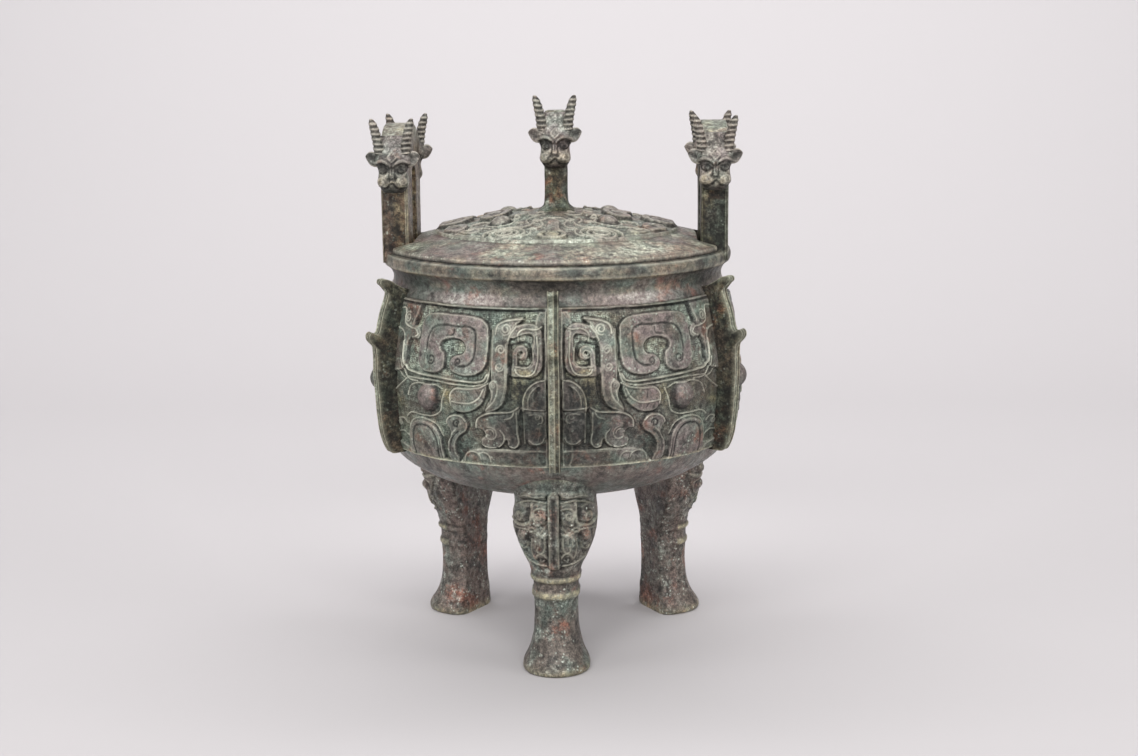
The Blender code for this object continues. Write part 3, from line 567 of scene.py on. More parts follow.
# The bowl, turned from one profile. Radius and height.
bowl = {
    "lip": [(77.5, 205.7), (78.0, 206.2), (88.6, 206.2), (89.6, 205.7), (90.1, 204.7), (90.1, 201.3),
            (89.7, 200.2), (88.5, 199.4), (86.6, 197.4), (85.4, 195.0)],
    "outside": [(85.2, 193.2), (85.7, 190.6), (87.2, 188.2), (88.8, 180.5), (91.6, 166.7), (94.4, 144.2),
                (93.8, 127.2), (91.0, 110.7), (86.2, 102.6), (76.0, 94.6), (54.0, 86.1), (30.0, 83.7),
                (10.0, 83.2)],
    "inside": [(10.0, 87.2), (30.0, 87.6), (53.0, 90.0), (73.8, 98.0), (83.1, 105.4), (87.1, 112.6),
               (89.8, 127.6), (90.4, 144.3), (87.6, 166.1), (84.9, 179.6), (83.2, 187.2), (81.8, 191.0),
               (81.3, 196.0), (80.6, 200.0), (78.6, 201.2), (77.5, 202.0)],
    "poles": (83.2, 87.2),
    "columns": 180,
    "outsideRows": 86,
    "insideRows": 40,
    "beltDip": 1.1,  # how far the turned wall hides behind the carved belt
    "lipFrom": 84.0,  # the radius beyond which a point lies on the lip
}
belt = {
    "low": 109.3,
    "high": 186.9,
    "columns": 451,
    "rows": 172,
    "backRows": 8,
    "cell": 0.3,
    "degree": 1.65,  # millimetres along the belly for one degree
    "drop": 1.8,
    "turn": 1.0,  # belt and flanges were cast a little out of line with the legs
    "back": 1.7,
    "shake": (0.30, 0.28, 11.0),
}
outsideCurve = evenPath(smoothPath(bowl["outside"], spacing=0.8), 900)


def bowlAt(height):
    # radius of the bowl's outside at a height, and the outward direction (across, up) there
    radii, heights = outsideCurve[np.argsort(outsideCurve[:, 1])].T
    lean = (np.interp(height + 0.8, heights, radii) - np.interp(height - 0.8, heights, radii)) / 1.6
    size = np.hypot(1.0, lean)
    return np.interp(height, heights, radii), 1.0 / size, -lean / size


def makeBowl():
    # outer rows from the mouth over the lip to the bottom, a pole, and inner rows back up to the mouth
    lip = smoothPath(bowl["lip"], spacing=0.7)
    outer = evenPath(outsideCurve, bowl["outsideRows"])
    inner = evenPath(smoothPath(bowl["inside"], spacing=1.0), bowl["insideRows"])
    dip = smoothStep(belt["high"] + 0.3, belt["high"] - 0.5, outer[:, 1])
    outer[:, 0] -= bowl["beltDip"] * dip * smoothStep(belt["low"] - 0.1, belt["low"] + 0.7, outer[:, 1])
    profile = np.vstack([lip, outer, inner])
    n, rows, split = bowl["columns"], len(profile), len(lip) + len(outer)
    a = np.linspace(0.0, 2.0 * np.pi, n, endpoint=False)
    radius, height = profile.T[:, :, None]
    points = asPoints(radius * np.sin(a), -radius * np.cos(a), height)
    outside = np.repeat(np.arange(rows) < split, n)
    points[:, :2] *= 1.0 + (castWobble(points) * outside / np.hypot(points[:, 0], points[:, 1]))[:, None]
    points = np.vstack([points, [[0.0, 0.0, pole] for pole in bowl["poles"]]])
    number = np.arange(rows * n).reshape(rows, n)
    faces = [gridFaces(split, n, wrap=True), gridFaces(rows - split, n, first=split * n, wrap=True),
             joinRows(number[-1], number[0], wrap=True), fanFaces(number[split - 1], rows * n),
             fanFaces(number[split][::-1], rows * n + 1)]

    # where things are: the lip's face, the hollow below the lip, the neck's band, the lid's seat
    x, y, z = points.T
    r = np.hypot(x, y)
    isIn = np.append(~outside, [False, True])
    spot = layeredNoise(x, y, z, 16.0, 3)
    stain = smoothStep(-0.1, 0.3, layeredNoise(x, y, 2.0 * z, 11.0, 4))
    fleck = smoothStep(-0.15, 0.35, layeredNoise(x, y, z, 2.6, 6))
    cloud = smoothStep(0.0, 0.4, layeredNoise(x, y, z, 24.0, 7, 2))
    shaken = z + 0.9 * spot
    onLip = r > bowl["lipFrom"]
    onFace = smoothStep(198.8, 200.2, z) * onLip
    underLipShadow = smoothStep(191.6, 193.4, shaken) * smoothStep(200.4, 199.2, z) * (r > bowl["lipFrom"] - 1.0)
    band = smoothStep(184.0, 187.0, z) * smoothStep(193.0, 191.0, shaken)
    seat = smoothStep(205.9, 206.1, z) * smoothStep(88.9, 88.3, r)

    # degrees from the nearest flange: the neck's band is light red-pink between the flanges, partly a painted
    # highlight, and dark at them
    away = np.abs((np.degrees(np.arctan2(x, -y)) - belt["turn"] + 30.0) % 60.0 - 30.0)
    pinkSheen = hump(away, 27.0, 10.0) * smoothStep(-0.9, 0.0, spot)
    shut = hump(away, 0.0, 18.0)
    brownRed = hump(z, 194.0, 2.2) * smoothStep(-0.2, 0.3, stain - 0.4) * (r > bowl["lipFrom"] - 1.0)
    # the band's pink skin and pale crust between the flanges are partly a painted highlight
    tint = band * (0.15 + 0.70 * pinkSheen) + 0.15 * smoothStep(110.0, 104.0, z)
    pale = 0.30 * band * pinkSheen * pinkSheen + 0.05 + 0.15 * spot
    ochre = 0.75 * hump(z, 200.2, 0.9) * onLip * smoothStep(-0.5, 0.3, spot)
    ochre = ochre + 0.3 * brownRed + 0.35 * (1.0 - stain) * onFace
    # painted shadow in the undercut below the lip, deeper near the flanges; the lip's face has dark stains
    dark = (0.10 + 0.76 * shut) * underLipShadow + (0.10 + 0.40 * stain + 0.35 * fleck + 0.3 * cloud) * onFace
    dark = dark + (0.25 + 0.26 * shut) * band * (1.0 - pinkSheen) + 0.22 * smoothStep(108.0, 100.0, z) + 0.8 * seat
    patina = patinaOf(*(np.where(isIn, inside, value)
                        for inside, value in ((0.2, tint), (0.15, pale), (0.0, ochre), (0.35, dark))))
    upperEdge, lowerEdge = np.hypot(r - 89.4, z - 205.6), np.hypot(r - 90.0, z - 200.9)
    wearAndSheen = 0.6 * hump(upperEdge, 0.0, 0.65) + 0.35 * hump(lowerEdge, 0.0, 0.7)
    addPiece("bowl_wall", points, faces, patina, wearAndSheen, bronze["neck_bronze"], vesselPart, sharp=34.0)


makeBowl()

# The carved belt, drawn once for half a mask: degrees left of the front flange, and height over a foot
# that is 1.8 mm lower. Outlines are (outline, height, brown skin).
beltSlabs = [
    # horn, with its keyhole
    ([(-43.5, 182.6), (-40, 184), (-33, 184.4), (-26, 184.1), (-22.2, 182.8), (-20.2, 180), (-19.7, 174),
      (-19.8, 166), (-20.6, 160.2), (-22.8, 156.8), (-26, 155.3), (-29.6, 155.6), (-32.1, 157.3),
      (-33, 160), (-32.4, 162.8), (-31, 164.6), (-28.4, 165.8), (-27.5, 168.6), (-28.7, 171.5),
      (-31.6, 172.6), (-34.4, 171.9), (-36.6, 169.8), (-36.5, 167.2), (-35, 165.2), (-34.6, 161.8),
      (-35, 158.2), (-36.8, 155.9), (-40, 155.1), (-43.4, 155.8), (-45.2, 158.6), (-45.6, 166),
      (-45.4, 175), (-45, 180)], 1.75, 1.0),
    # body beside the middle flange
    ([(-60.5, 187.5), (-54, 187.2), (-47.6, 187), (-48.6, 182), (-49.8, 177.2), (-46.8, 175.6),
      (-45.9, 173),
      (-46.5, 170.6), (-49.5, 170), (-51.8, 168.6), (-52.4, 163), (-52.2, 157.4), (-53.6, 154.4),
      (-57, 152.5), (-60.5, 151.5)], 1.15, 0.35),
    # upright body with the beaked scroll at its top
    ([(-18.7, 176), (-18, 180), (-15.8, 182.7), (-12.6, 183.9), (-8.8, 184), (-9.6, 182.2),
      (-11.6, 179.8),
      (-12.4, 176), (-13.3, 172), (-13.5, 160), (-13.7, 148.5), (-14.8, 143), (-17.4, 139.6),
      (-20.6, 138.9), (-20.2, 141.5), (-18.4, 147), (-18.8, 156), (-18.9, 166)], 1.5, 0.35),
    # ear
    ([(-32.2, 146.5), (-31, 149), (-27, 149.6), (-23.4, 150.2), (-20, 152.2), (-20.2, 148.4),
      (-21.4, 143),
      (-24, 139.2), (-27.8, 137.2), (-30.8, 138), (-32.3, 141.4)], 1.35, 0.45),
    # narrow leaf between the ear and the body
    ([(-19.4, 152.5), (-17.6, 154.8), (-16.2, 153.4), (-15.9, 149), (-16.8, 144), (-18.8, 140.4),
      (-20.4, 139.4), (-18.8, 144), (-18.9, 148.5)], 1.9, 0.3),
    # leaf beside the front flange
    ([(-9.3, 139.6), (-9.2, 146), (-7.6, 151.6), (-4.8, 154.6), (-2.4, 155), (-2.3, 148), (-2.4, 140.2),
      (-5.8, 139.8)], 1.5, 0.45),
    # nostril scroll
    ([(-8.6, 139.4), (-5, 139.8), (-2.6, 139.4), (-2.4, 132), (-2.6, 124.5), (-4.6, 122.6), (-7.2, 123),
      (-8.7, 126), (-8.9, 133)], 1.35, 0.4),
    # fang
    ([(-34.1, 132.5), (-32.6, 135.4), (-29.6, 136.2), (-27.2, 134.8), (-26.2, 131.6), (-26.9, 128.6),
      (-29.4, 125.6), (-31.2, 121), (-31.2, 117.4), (-30.4, 115.2), (-30.2, 112.6), (-31.6, 111.9),
      (-33.6, 112.8), (-34.5, 116.8), (-34.2, 121.6), (-32.6, 126.4), (-33, 129)], 1.6, 0.5),
    # jaw
    ([(-23.9, 130.6), (-23.4, 135), (-21, 138), (-17, 139.2), (-12.6, 140.2), (-9.9, 142.4), (-10.2, 137),
      (-10.4, 130), (-10.3, 122.8), (-12, 121), (-13.6, 121.8), (-14.2, 125.4), (-15.6, 122.4),
      (-18.4, 120.8), (-21.6, 121.8), (-22.2, 125), (-20.6, 127.4), (-21.6, 129.8)], 1.35, 0.4),
    # arch
    ([(-51.4, 111.2), (-51.3, 121), (-50, 127), (-46.6, 130.2), (-42.4, 130.5), (-38.8, 128.4),
      (-36.9, 123.8), (-36.5, 117), (-36.5, 111.2)], 1.3, 0.8),
    # shelf under the jaw
    ([(-29.4, 111.2), (-28.8, 115.6), (-27, 118.6), (-24, 119.9), (-18, 120.1), (-10, 119.9),
      (-2.4, 119.6),
      (-2.4, 111.2)], 0.75, 0.3),
    # lower border
    ([(-62, 110.4), (-62, 112.7), (-45, 112.7), (-25, 112.7), (-5, 112.7), (2, 112.7), (2, 110.4),
      (-20, 110.2)], 1.0, 0.2),
    # border along the front flange
    ([(-2.7, 188), (2, 188), (2, 111), (-2.7, 111), (-2.6, 150)], 0.7, 0.1),
    # plain neck above the belt
    ([(-62, 187.4), (-50, 187.5), (-30, 187.5), (-10, 187.7), (2, 187.7), (2, 192), (-30, 192),
      (-62, 192)], 0.75, 0.6),
]
beltBands = [
    # square spiral: path, width, height, brown skin
    ([(-12.2, 176.6), (-9, 178.4), (-6, 178.4), (-4.8, 176.6), (-4.75, 168), (-4.9, 161), (-6.2, 159),
      (-9, 158.7), (-12, 159)], 5.4, 1.5, 0.7),
    ([(-11.4, 160), (-11.5, 164), (-11.4, 167.4), (-10.6, 169.2), (-9, 169.4), (-8.3, 168), (-8.4, 166.2),
      (-9.3, 165.4)], 3.0, 1.2, 0.6),
]
beltRidges = [
    # double line under the horn
    ([(-53.6, 168), (-53.1, 158), (-51.6, 155), (-48, 154), (-38, 153.3), (-28, 152.6), (-23.5, 152.6),
      (-21.3, 153.8), (-20.3, 156.6)], 1.3, 1.15),
    ([(-55, 159), (-53.6, 154.5), (-51, 150.4), (-46, 149.8)], 0.9, 0.7),
    ([(-51.2, 150.9), (-40, 151.3), (-30, 150.6), (-24, 150.8), (-20.6, 152.8), (-19.5, 158),
      (-19.2, 170),
      (-18.9, 178)], 0.9, 0.75),
    # lines on the body beside the middle flange
    ([(-58, 183.5), (-55.5, 184), (-54.4, 176.6), (-51, 175), (-47.8, 174.2), (-47, 172.4),
      (-48.4, 171)], 0.9, 0.7),
    ([(-60, 174), (-54.6, 172), (-53.2, 166)], 0.9, 0.6),
    # outline of the upright body and its beak
    ([(-17.6, 176), (-17, 180), (-14.8, 182), (-11.6, 183), (-8.9, 183.3)], 0.9, 0.75),
    ([(-13.6, 173.2), (-12.7, 176.6), (-11.4, 179.2), (-11.2, 181.4)], 0.9, 0.6),
    ([(-14.4, 171), (-14.3, 160), (-14.5, 149), (-15.4, 144)], 0.8, 0.35),
    # leaf by the body
    ([(-20.1, 140), (-17.4, 144.6), (-16.5, 149), (-16.8, 153), (-17.8, 154), (-18.9, 152), (-18, 148),
      (-18.6, 144)], 0.9, 0.6),
    # ear
    ([(-31.8, 140.5), (-31.9, 146), (-30.6, 148.4), (-26, 149.1), (-22, 150.4),
      (-19.8, 152.4)], 0.95, 0.75),
    ([(-31.4, 142.4), (-27.4, 142), (-25.2, 142.4), (-22.6, 145), (-21, 149.6)], 0.9, 0.75),
    # spiral's own lines
    ([(-4.9, 175), (-4.95, 161.6), (-5.8, 158.3), (-10.8, 158.1), (-11.3, 159.8)], 0.85, 0.75),
    ([(-6.3, 171.4), (-6.3, 163), (-7.3, 161), (-11.2, 160.9)], 0.75, 0.7),
    ([(-10.6, 173), (-10.5, 176.4), (-9.1, 178.3), (-4.7, 178.5), (-3.3, 180)], 0.85, 0.75),
    ([(-8.0, 169.6), (-7.9, 165.2), (-8.9, 163.4)], 0.7, 0.6),
    # leaf and nostril beside the front flange
    ([(-8.9, 124), (-9, 140), (-8.8, 147), (-7, 151.8), (-4.4, 154.4), (-2.6, 154.8)], 0.95, 0.8),
    ([(-7.6, 140.6), (-7.5, 146), (-6, 150.4), (-4.4, 152.2)], 0.8, 0.5),
    ([(-9.8, 141.4), (-6, 140.6), (-2.6, 140.4)], 0.9, 0.7),
    ([(-7.4, 138), (-5.2, 138.6), (-3.6, 137.4), (-3.4, 135), (-4.8, 133.8)], 0.8, 0.6),
    ([(-7.6, 125.6), (-6, 123.8), (-3.8, 124.6), (-3, 127)], 0.85, 0.7),
    # jaw
    ([(-23.4, 130.8), (-23, 134.8), (-20.6, 137.6), (-16, 138.9), (-12.4, 139.6),
      (-10.2, 141.8)], 0.95, 0.8),
    ([(-11, 139), (-10.9, 130), (-10.8, 123.4), (-11.8, 121.7), (-13.2, 122.4)], 0.9, 0.7),
    ([(-14.6, 135.6), (-12.4, 137), (-11.6, 139.4)], 0.8, 0.6),
    ([(-16.6, 121.8), (-15, 124.6), (-14.9, 128), (-16, 130.4)], 0.85, 0.7),
    ([(-22.2, 122.6), (-20.2, 121.4), (-17.6, 121.4)], 0.9, 0.8),
    # fang
    ([(-33.9, 129.6), (-33.3, 133.6), (-31, 135.6), (-28.4, 135.4), (-27, 133.4)], 0.95, 0.8),
    ([(-33.6, 122), (-32.2, 126.4), (-30.6, 128.8)], 0.8, 0.55),
    ([(-31.2, 112.8), (-29.8, 112.6), (-29.2, 114.2)], 0.8, 0.6),
    # eye socket
    ([(-51, 141.6), (-49.6, 146.6), (-46.6, 148.7), (-42, 149.1), (-37.4, 148.9),
      (-35.6, 147.6)], 0.9, 0.75),
    ([(-52.4, 130.6), (-50.6, 132.6), (-44, 133.2), (-39.4, 133.8), (-36.6, 136.4), (-35.6, 142),
      (-34.2, 147.6)], 0.9, 0.75),
    # arch and the shelf's lobes
    ([(-51.9, 112.5), (-51.9, 121.5), (-50.4, 127.8), (-46.8, 131), (-42.2, 131.3), (-38.2, 129.2),
      (-36.2, 124.4)], 0.9, 0.6),
    ([(-28.6, 113.4), (-27.6, 117), (-25.6, 118.5), (-23.6, 117.6), (-22.8, 115)], 0.85, 0.6),
    ([(-23.6, 117.6), (-21.4, 118.3), (-20, 116.6), (-19.8, 114)], 0.85, 0.5),
    ([(-20, 120.3), (-10, 120.1), (-2.6, 119.8)], 0.8, 0.55),
    # lower border's light edge
    ([(-62, 111.9), (-45, 111.8), (-30, 111.9), (-15, 111.8), (2, 111.8)], 1.3, 0.5),
    # light edge of the neck
    ([(-61, 188.1), (-50, 188.1), (-30, 188.0), (-12, 188.2), (1, 188.3)], 1.1, 0.6),
    # lines beside the middle flange
    ([(-60, 141.4), (-55.6, 145.6), (-51.6, 150.2)], 0.9, 0.7),
    ([(-56.8, 153.6), (-54, 150.4), (-51.6, 149.8)], 0.9, 0.6),
    ([(-58, 128), (-54.4, 128.8), (-52.6, 127)], 0.9, 0.6),
    ([(-58.6, 121), (-55, 121.8), (-52.4, 120.4)], 0.9, 0.6),
    ([(-2.45, 187.6), (-2.4, 150), (-2.4, 112.6)], 0.9, 0.5),
]
beltGrooves = [
    # the line round the horn, its curl and its small hook
    ([(-42.2, 165.6), (-41.8, 172), (-40.2, 176.6), (-37, 178.3), (-31, 178.6), (-26.6, 178.7),
      (-24.6, 177.2),
      (-24.1, 172), (-24.2, 166.5), (-25, 162.4), (-27, 160), (-29.6, 159.6)], 0.95, 0.7),
    ([(-31.9, 177.2), (-32.1, 174.8), (-34.6, 173.7)], 0.8, 0.5),
    # dark steps
    ([(-60, 187.2), (-47.2, 187.1), (-30, 187), (-12, 187.2), (-2.8, 187.4)], 1.1, 0.75),
    ([(-46.9, 187), (-48, 182.4), (-49.4, 176.8)], 1.7, 0.8),
    ([(-45.6, 174.6), (-45.7, 171.4)], 1.2, 0.6),
    ([(-50.6, 169.8), (-51.9, 167), (-52, 159)], 1.4, 0.7),
    ([(-13.1, 171), (-12.9, 160), (-13.1, 148.5), (-14.2, 143)], 1.4, 0.7),
    ([(-12.9, 171.2), (-7.4, 171.6), (-6.9, 169), (-6.9, 164.2)], 1.2, 0.55),
    ([(-3.1, 180.4), (-3, 160), (-3.2, 156.4)], 1.2, 0.6),
    ([(-9.9, 154), (-10, 141.6)], 0.9, 0.4),
    ([(-8.1, 138), (-8.1, 124)], 0.9, 0.5),
    ([(-19.3, 157), (-19.3, 178)], 0.8, 0.35),
    # leaf's dark hollow and the lines on the ear
    ([(-4.4, 151), (-5.2, 147), (-5, 142.2)], 1.7, 0.8),
    ([(-28, 147), (-27.8, 143.6)], 0.7, 0.35),
    ([(-28.4, 141.2), (-27.6, 139.4)], 0.7, 0.35),
    ([(-23.4, 148.4), (-20.9, 144.6), (-19.2, 150)], 0.9, 0.35),
    # arch
    ([(-49.6, 112.8), (-49.4, 121), (-48, 126.4), (-44.6, 128.3), (-40.8, 127), (-38.9, 122.6),
      (-38.6, 112.8)], 1.0, 0.6),
    ([(-37.4, 113), (-37.5, 122)], 0.8, 0.4),
    # fang's line, jaw's hollows, nostril
    ([(-33.4, 117), (-33, 121.4), (-31.8, 125.2), (-29.8, 128)], 0.8, 0.4),
    ([(-13.9, 134), (-12.4, 130), (-12.2, 124)], 1.2, 0.5),
    ([(-6.9, 136.6), (-7, 128), (-6.4, 125.4)], 0.9, 0.45),
    ([(-21.6, 135.8), (-18.6, 137.2), (-14, 138)], 0.8, 0.35),
]
# small scrolls: centre, outer and inner radius, start angle, turns
beltCurls = [
    ((-53.2, 179.6), 2.9, 0.7, 60, 1.6),
    ((-14.4, 178.4), 2.9, 0.8, 250, 1.5),
    ((-15.9, 168.5), 2.4, 0.7, 200, -1.5),
    ((-16.1, 160.6), 2.3, 0.6, 20, -1.5),
    ((-9.2, 174.2), 1.5, 0.5, 40, 1.3),
    ((-9.7, 167.0), 2.2, 0.5, 200, 1.4),
    ((-17.7, 151.6), 1.3, 0.5, 60, 1.1),
    ((-19.1, 128.2), 3.6, 1.9, 110, -1.3),
    ((-5, 137), 1.5, 0.5, 130, -1.3),
    ((-57, 126), 1.8, 0.6, 90, 1.4),
]
beltCurlGrooves = [
    # the same, and a depth
    ((-40, 161.7), 2.7, 0.8, 150, 1.45, 0.55),
    ((-29.8, 161.6), 1.9, 0.6, 250, -1.1, 0.55),
    ((-44.6, 119.4), 5.6, 5.0, 200, -0.95, 0.16),
    ((-44.6, 119.4), 3.4, 2.8, 200, -0.95, 0.16),
    ((-30.4, 131.4), 2.1, 0.8, 20, 1.1, 0.5),
]
beltBosses = [
    # eye, jaw's eye, nostril; centre, radii, stand, power, brown skin
    ((-41, 142.8), (7.2, 7.2), 5.0, 0.85, 1.0),
    ((-19.6, 132.6), (2.2, 2.2), 2.2, 0.6, 0.6),
    ((-28.8, 131), (2.4, 2.6), 2.5, 0.5, 0.4),
    ((-5.2, 130.5), (2.6, 4.4), 2.0, 0.6, 0.4),
    ((-26, 115.4), (2.2, 1.9), 1.5, 0.6, 0.4),
    ((-22, 115.4), (2.2, 1.9), 1.5, 0.6, 0.4),
    ((-44.6, 119.4), (1.2, 1.2), 2.0, 0.6, 0.5),
]
beltShades = [
    # darker patches: centre, radii in degrees and millimetres, share; the one on the eye dome's lower half is
    # painted shade
    ((-6.0, 133.0), (11.5, 24.0), 1.25),
    ((-6.0, 166.0), (3.5, 11.0), 0.30),
    ((-30.0, 121.0), (5.0, 9.0), 0.50),
    ((-40.2, 139.2), (3.8, 5.0), 0.52),
    ((-17.0, 127.0), (7.0, 9.0), 0.55),
]
beltOchre = [
    # places with ochre crust: centre, radii in degrees and millimetres
    ((-10.5, 149), (3.2, 8.0), 0.6),
    ((-8.6, 157.6), (3.6, 2.0), 0.9),
    ((-33.8, 144.6), (1.8, 4.2), 0.8),
    ((-40, 112.2), (22, 1.1), 0.5),
    ((-9, 112.2), (9, 1.2), 0.5),
    ((-56, 137), (3.0, 3.0), 0.6),
]


def beltFlat(points):
    # degrees and heights of the drawing to millimetres on the flat sheet
    return np.asarray(points, float) * (belt["degree"], 1.0) - (0.0, belt["drop"])


def drawBelt():
    # half a mask on a flat sheet, and its soft patches of crust and shade
    degree = belt["degree"]
    sheet = newSheet(-60.5 * degree, 1.0 * degree, belt["low"] - 1.0, belt["high"] + 2.0, belt["cell"])
    drawStrokes(sheet, beltFlat, 0.95, (0.65, 0.52), beltBosses, beltRidges, beltGrooves, beltCurls,
                beltSlabs, beltBands, thinner=0.82)
    for centre, outer, inner, start, turns, depth in beltCurlGrooves:
        cutGroove(sheet, curl(beltFlat(centre), outer, inner, start, turns), 0.85, depth, plain=True)
    for layer, patches in (("ochre", beltOchre), ("shade", beltShades)):
        for centre, radii, share in patches:
            x, y = beltFlat(centre)
            q = np.hypot((sheet["x"] - x) / (radii[0] * degree), (sheet["y"] - y) / radii[1])
            raiseLayer(sheet, layer, ..., share * np.exp(-q * q))
    return finishSheet(sheet, sideShare=0.55)


beltSheet = drawBelt()
print("belt drawn")


def makeBelt(name, centre):
    # radius of the bowl plus the carving read from the sheet, which is folded at the mask's middle and
    # shaken by a slow noise so that no two halves are quite the same
    n, m = belt["columns"], belt["rows"]
    azimuth = np.linspace(centre - 60.0, centre + 60.0, n)
    a, z = np.meshgrid(azimuth, np.linspace(belt["low"], belt["high"], m))
    radius, across, up = bowlAt(z)
    turn = np.radians(a)
    x, y = radius * np.sin(turn), -radius * np.cos(turn)
    sideways, upright, size = belt["shake"]
    flatX = (-60.0 + np.abs(a - centre)) * belt["degree"] + sideways * latticeNoise(x, y, z, size, 21)
    flatY = z + upright * latticeNoise(x, y, z, size, 22)
    lift, ground, hollow, crest, tint, ochre, shade = readSheet(
        beltSheet, flatX, flatY, "height", "ground", "hollow", "crest", "tint", "ochre", "shade")
    ends = smoothStep(belt["low"], belt["low"] + 1.0, z) * smoothStep(belt["high"], belt["high"] - 0.8, z)
    stand = (lift - 0.35 * ground + 0.10 * layeredNoise(x, y, z, 3.2, 31, 2)) * ends
    front = radius + castWobble(asPoints(x, y, z)).reshape(x.shape) + stand * across
    face = asPoints(front * np.sin(turn), -front * np.cos(turn), z + stand * up)

    # a plain back behind the wall, and four narrow sides
    ab, zb = np.meshgrid(azimuth, np.linspace(belt["low"], belt["high"], belt["backRows"]))
    back, turnBack = bowlAt(zb)[0] - belt["back"], np.radians(ab)
    points = np.vstack([face, asPoints(back * np.sin(turnBack), -back * np.cos(turnBack), zb)])
    fore = np.arange(n * m).reshape(m, n)
    rear = n * m + np.arange(ab.size).reshape(ab.shape)
    faces = [gridFaces(m, n), gridFaces(len(ab), n, first=n * m)[:, ::-1], joinRows(rear[0], fore[0]),
             joinRows(fore[-1], rear[-1]), np.concatenate([fore[:, 0], rear[::-1, 0]])[None, ::-1],
             np.concatenate([fore[::-1, -1], rear[:, -1]])[None, ::-1]]

    # the upper field is paler, the lower half darker and browner towards the right of the photograph
    field = smoothStep(151.0, 158.0, z + belt["drop"]) * smoothStep(188.0, 184.0, z + belt["drop"])
    pale = ground * (0.36 + 0.48 * field) * smoothStep(-0.6, 0.3, layeredNoise(x, y, z, 17.0, 41))
    pale = (pale + 0.15 * hollow * field) * (1.0 - 0.22 * smoothStep(10.0, 60.0, x))
    # painted shade in the carving's hollows and on its steep sides, and in the darker patches
    dark = 0.92 * smoothStep(0.2, 0.9, hollow) + (0.34 * (1.0 - field) * ground + shade) * (1.0 - 0.7 * crest)
    dark = dark + 0.16 * (1.0 - field) * smoothStep(0.0, 60.0, x) * (1.0 - crest)
    blotch = smoothStep(-0.3, 0.4, layeredNoise(x, y, z, 14.0, 47, 2))
    ochre = ochre + 0.32 * ground * (0.55 + 0.45 * field) * blotch
    blush = layeredNoise(x, y, z, 12.0, 43, 2)
    skin = tint * smoothStep(-0.6, 0.3, blush)
    skin = skin + 0.6 * smoothStep(-20.0, 50.0, x) * smoothStep(-0.5, 0.2, blush)
    patina = patinaOf(skin, pale * (1.0 - 0.6 * dark), ochre * (1.0 - 0.5 * hollow), dark)
    # the worn lines are partly a painted highlight, stronger in the upper field and fainter towards the right
    thin = 0.55 + 0.45 * smoothStep(-0.5, 0.2, layeredNoise(x, y, z, 6.0, 45, 2))
    wearAndSheen = crest * thin * (0.72 + 0.28 * (1.0 - tint)) * (1.0 - 0.35 * shade) * (0.95 + 0.25 * field)
    wearAndSheen = wearAndSheen * (1.0 - 0.26 * smoothStep(0.0, 50.0, x))
    flat = np.stack([flatX.ravel(), flatY.ravel()], axis=1)
    addPiece(name, points, faces, patina, wearAndSheen, bronze["carved_bronze"], vesselPart, flat=flat,
             ground=ground * smoothStep(113.5, 115.0, z))


for beltName, beltCentre in (("belt_right_mask", 60.0), ("belt_rear_mask", 180.0), ("belt_left_mask", -60.0)):
    makeBelt(beltName, beltCentre + belt["turn"])

# The six upright flanges. The rim of each is (radius, height).
flange = {
    "rim": [(92.0, 107.9), (98.2, 108.5), (99.4, 110.4), (101.6, 116.2), (103.2, 126.5), (104.0, 138.2),
            (104.6, 150.0), (104.6, 160.0), (105.0, 163.0), (106.9, 165.0), (108.1, 167.0), (107.8, 169.6),
            (106.4, 170.5), (104.8, 169.6), (103.6, 169.3), (102.6, 170.6), (101.6, 175.0), (99.8, 181.2),
            (97.8, 186.6), (97.2, 189.8), (99.4, 192.6), (101.4, 194.6), (101.0, 196.2), (99.2, 196.6),
            (96.2, 195.9), (92.6, 193.6), (88.0, 191.0)],
    "thickness": 5.4,
    "section": [  # across, depth below the rim, worn share, grime, pale crust
        (-1.0, 0.0, 0.0, 0.85, 0.0), (-1.0, 3.0, 0.0, 0.80, 0.0), (-1.0, 0.35, 0.4, 0.45, 0.1),
        (-0.88, 0.0, 0.75, 0.0, 0.2), (-0.70, 0.45, 0.2, 0.10, 0.40), (-0.35, 0.5, 0.15, 0.10, 0.45),
        (-0.05, 0.3, 0.3, 0.0, 0.35), (0.10, 0.05, 0.75, 0.0, 0.1), (0.25, 0.4, 0.1, 0.40, 0.0),
        (0.50, 0.5, 0.05, 0.45, 0.0), (0.72, 0.45, 0.1, 0.40, 0.0), (0.88, 0.0, 0.75, 0.0, 0.2),
        (1.0, 0.35, 0.4, 0.45, 0.1), (1.0, 3.0, 0.0, 0.80, 0.0), (1.0, 0.0, 0.0, 0.85, 0.0)],
    "rows": 156,
    "rooted": 2.2,  # how deep a flange's root lies below the bowl's outside
    "shoulder": 0.78,  # where its flat side begins, as a share from the root to the rim
}


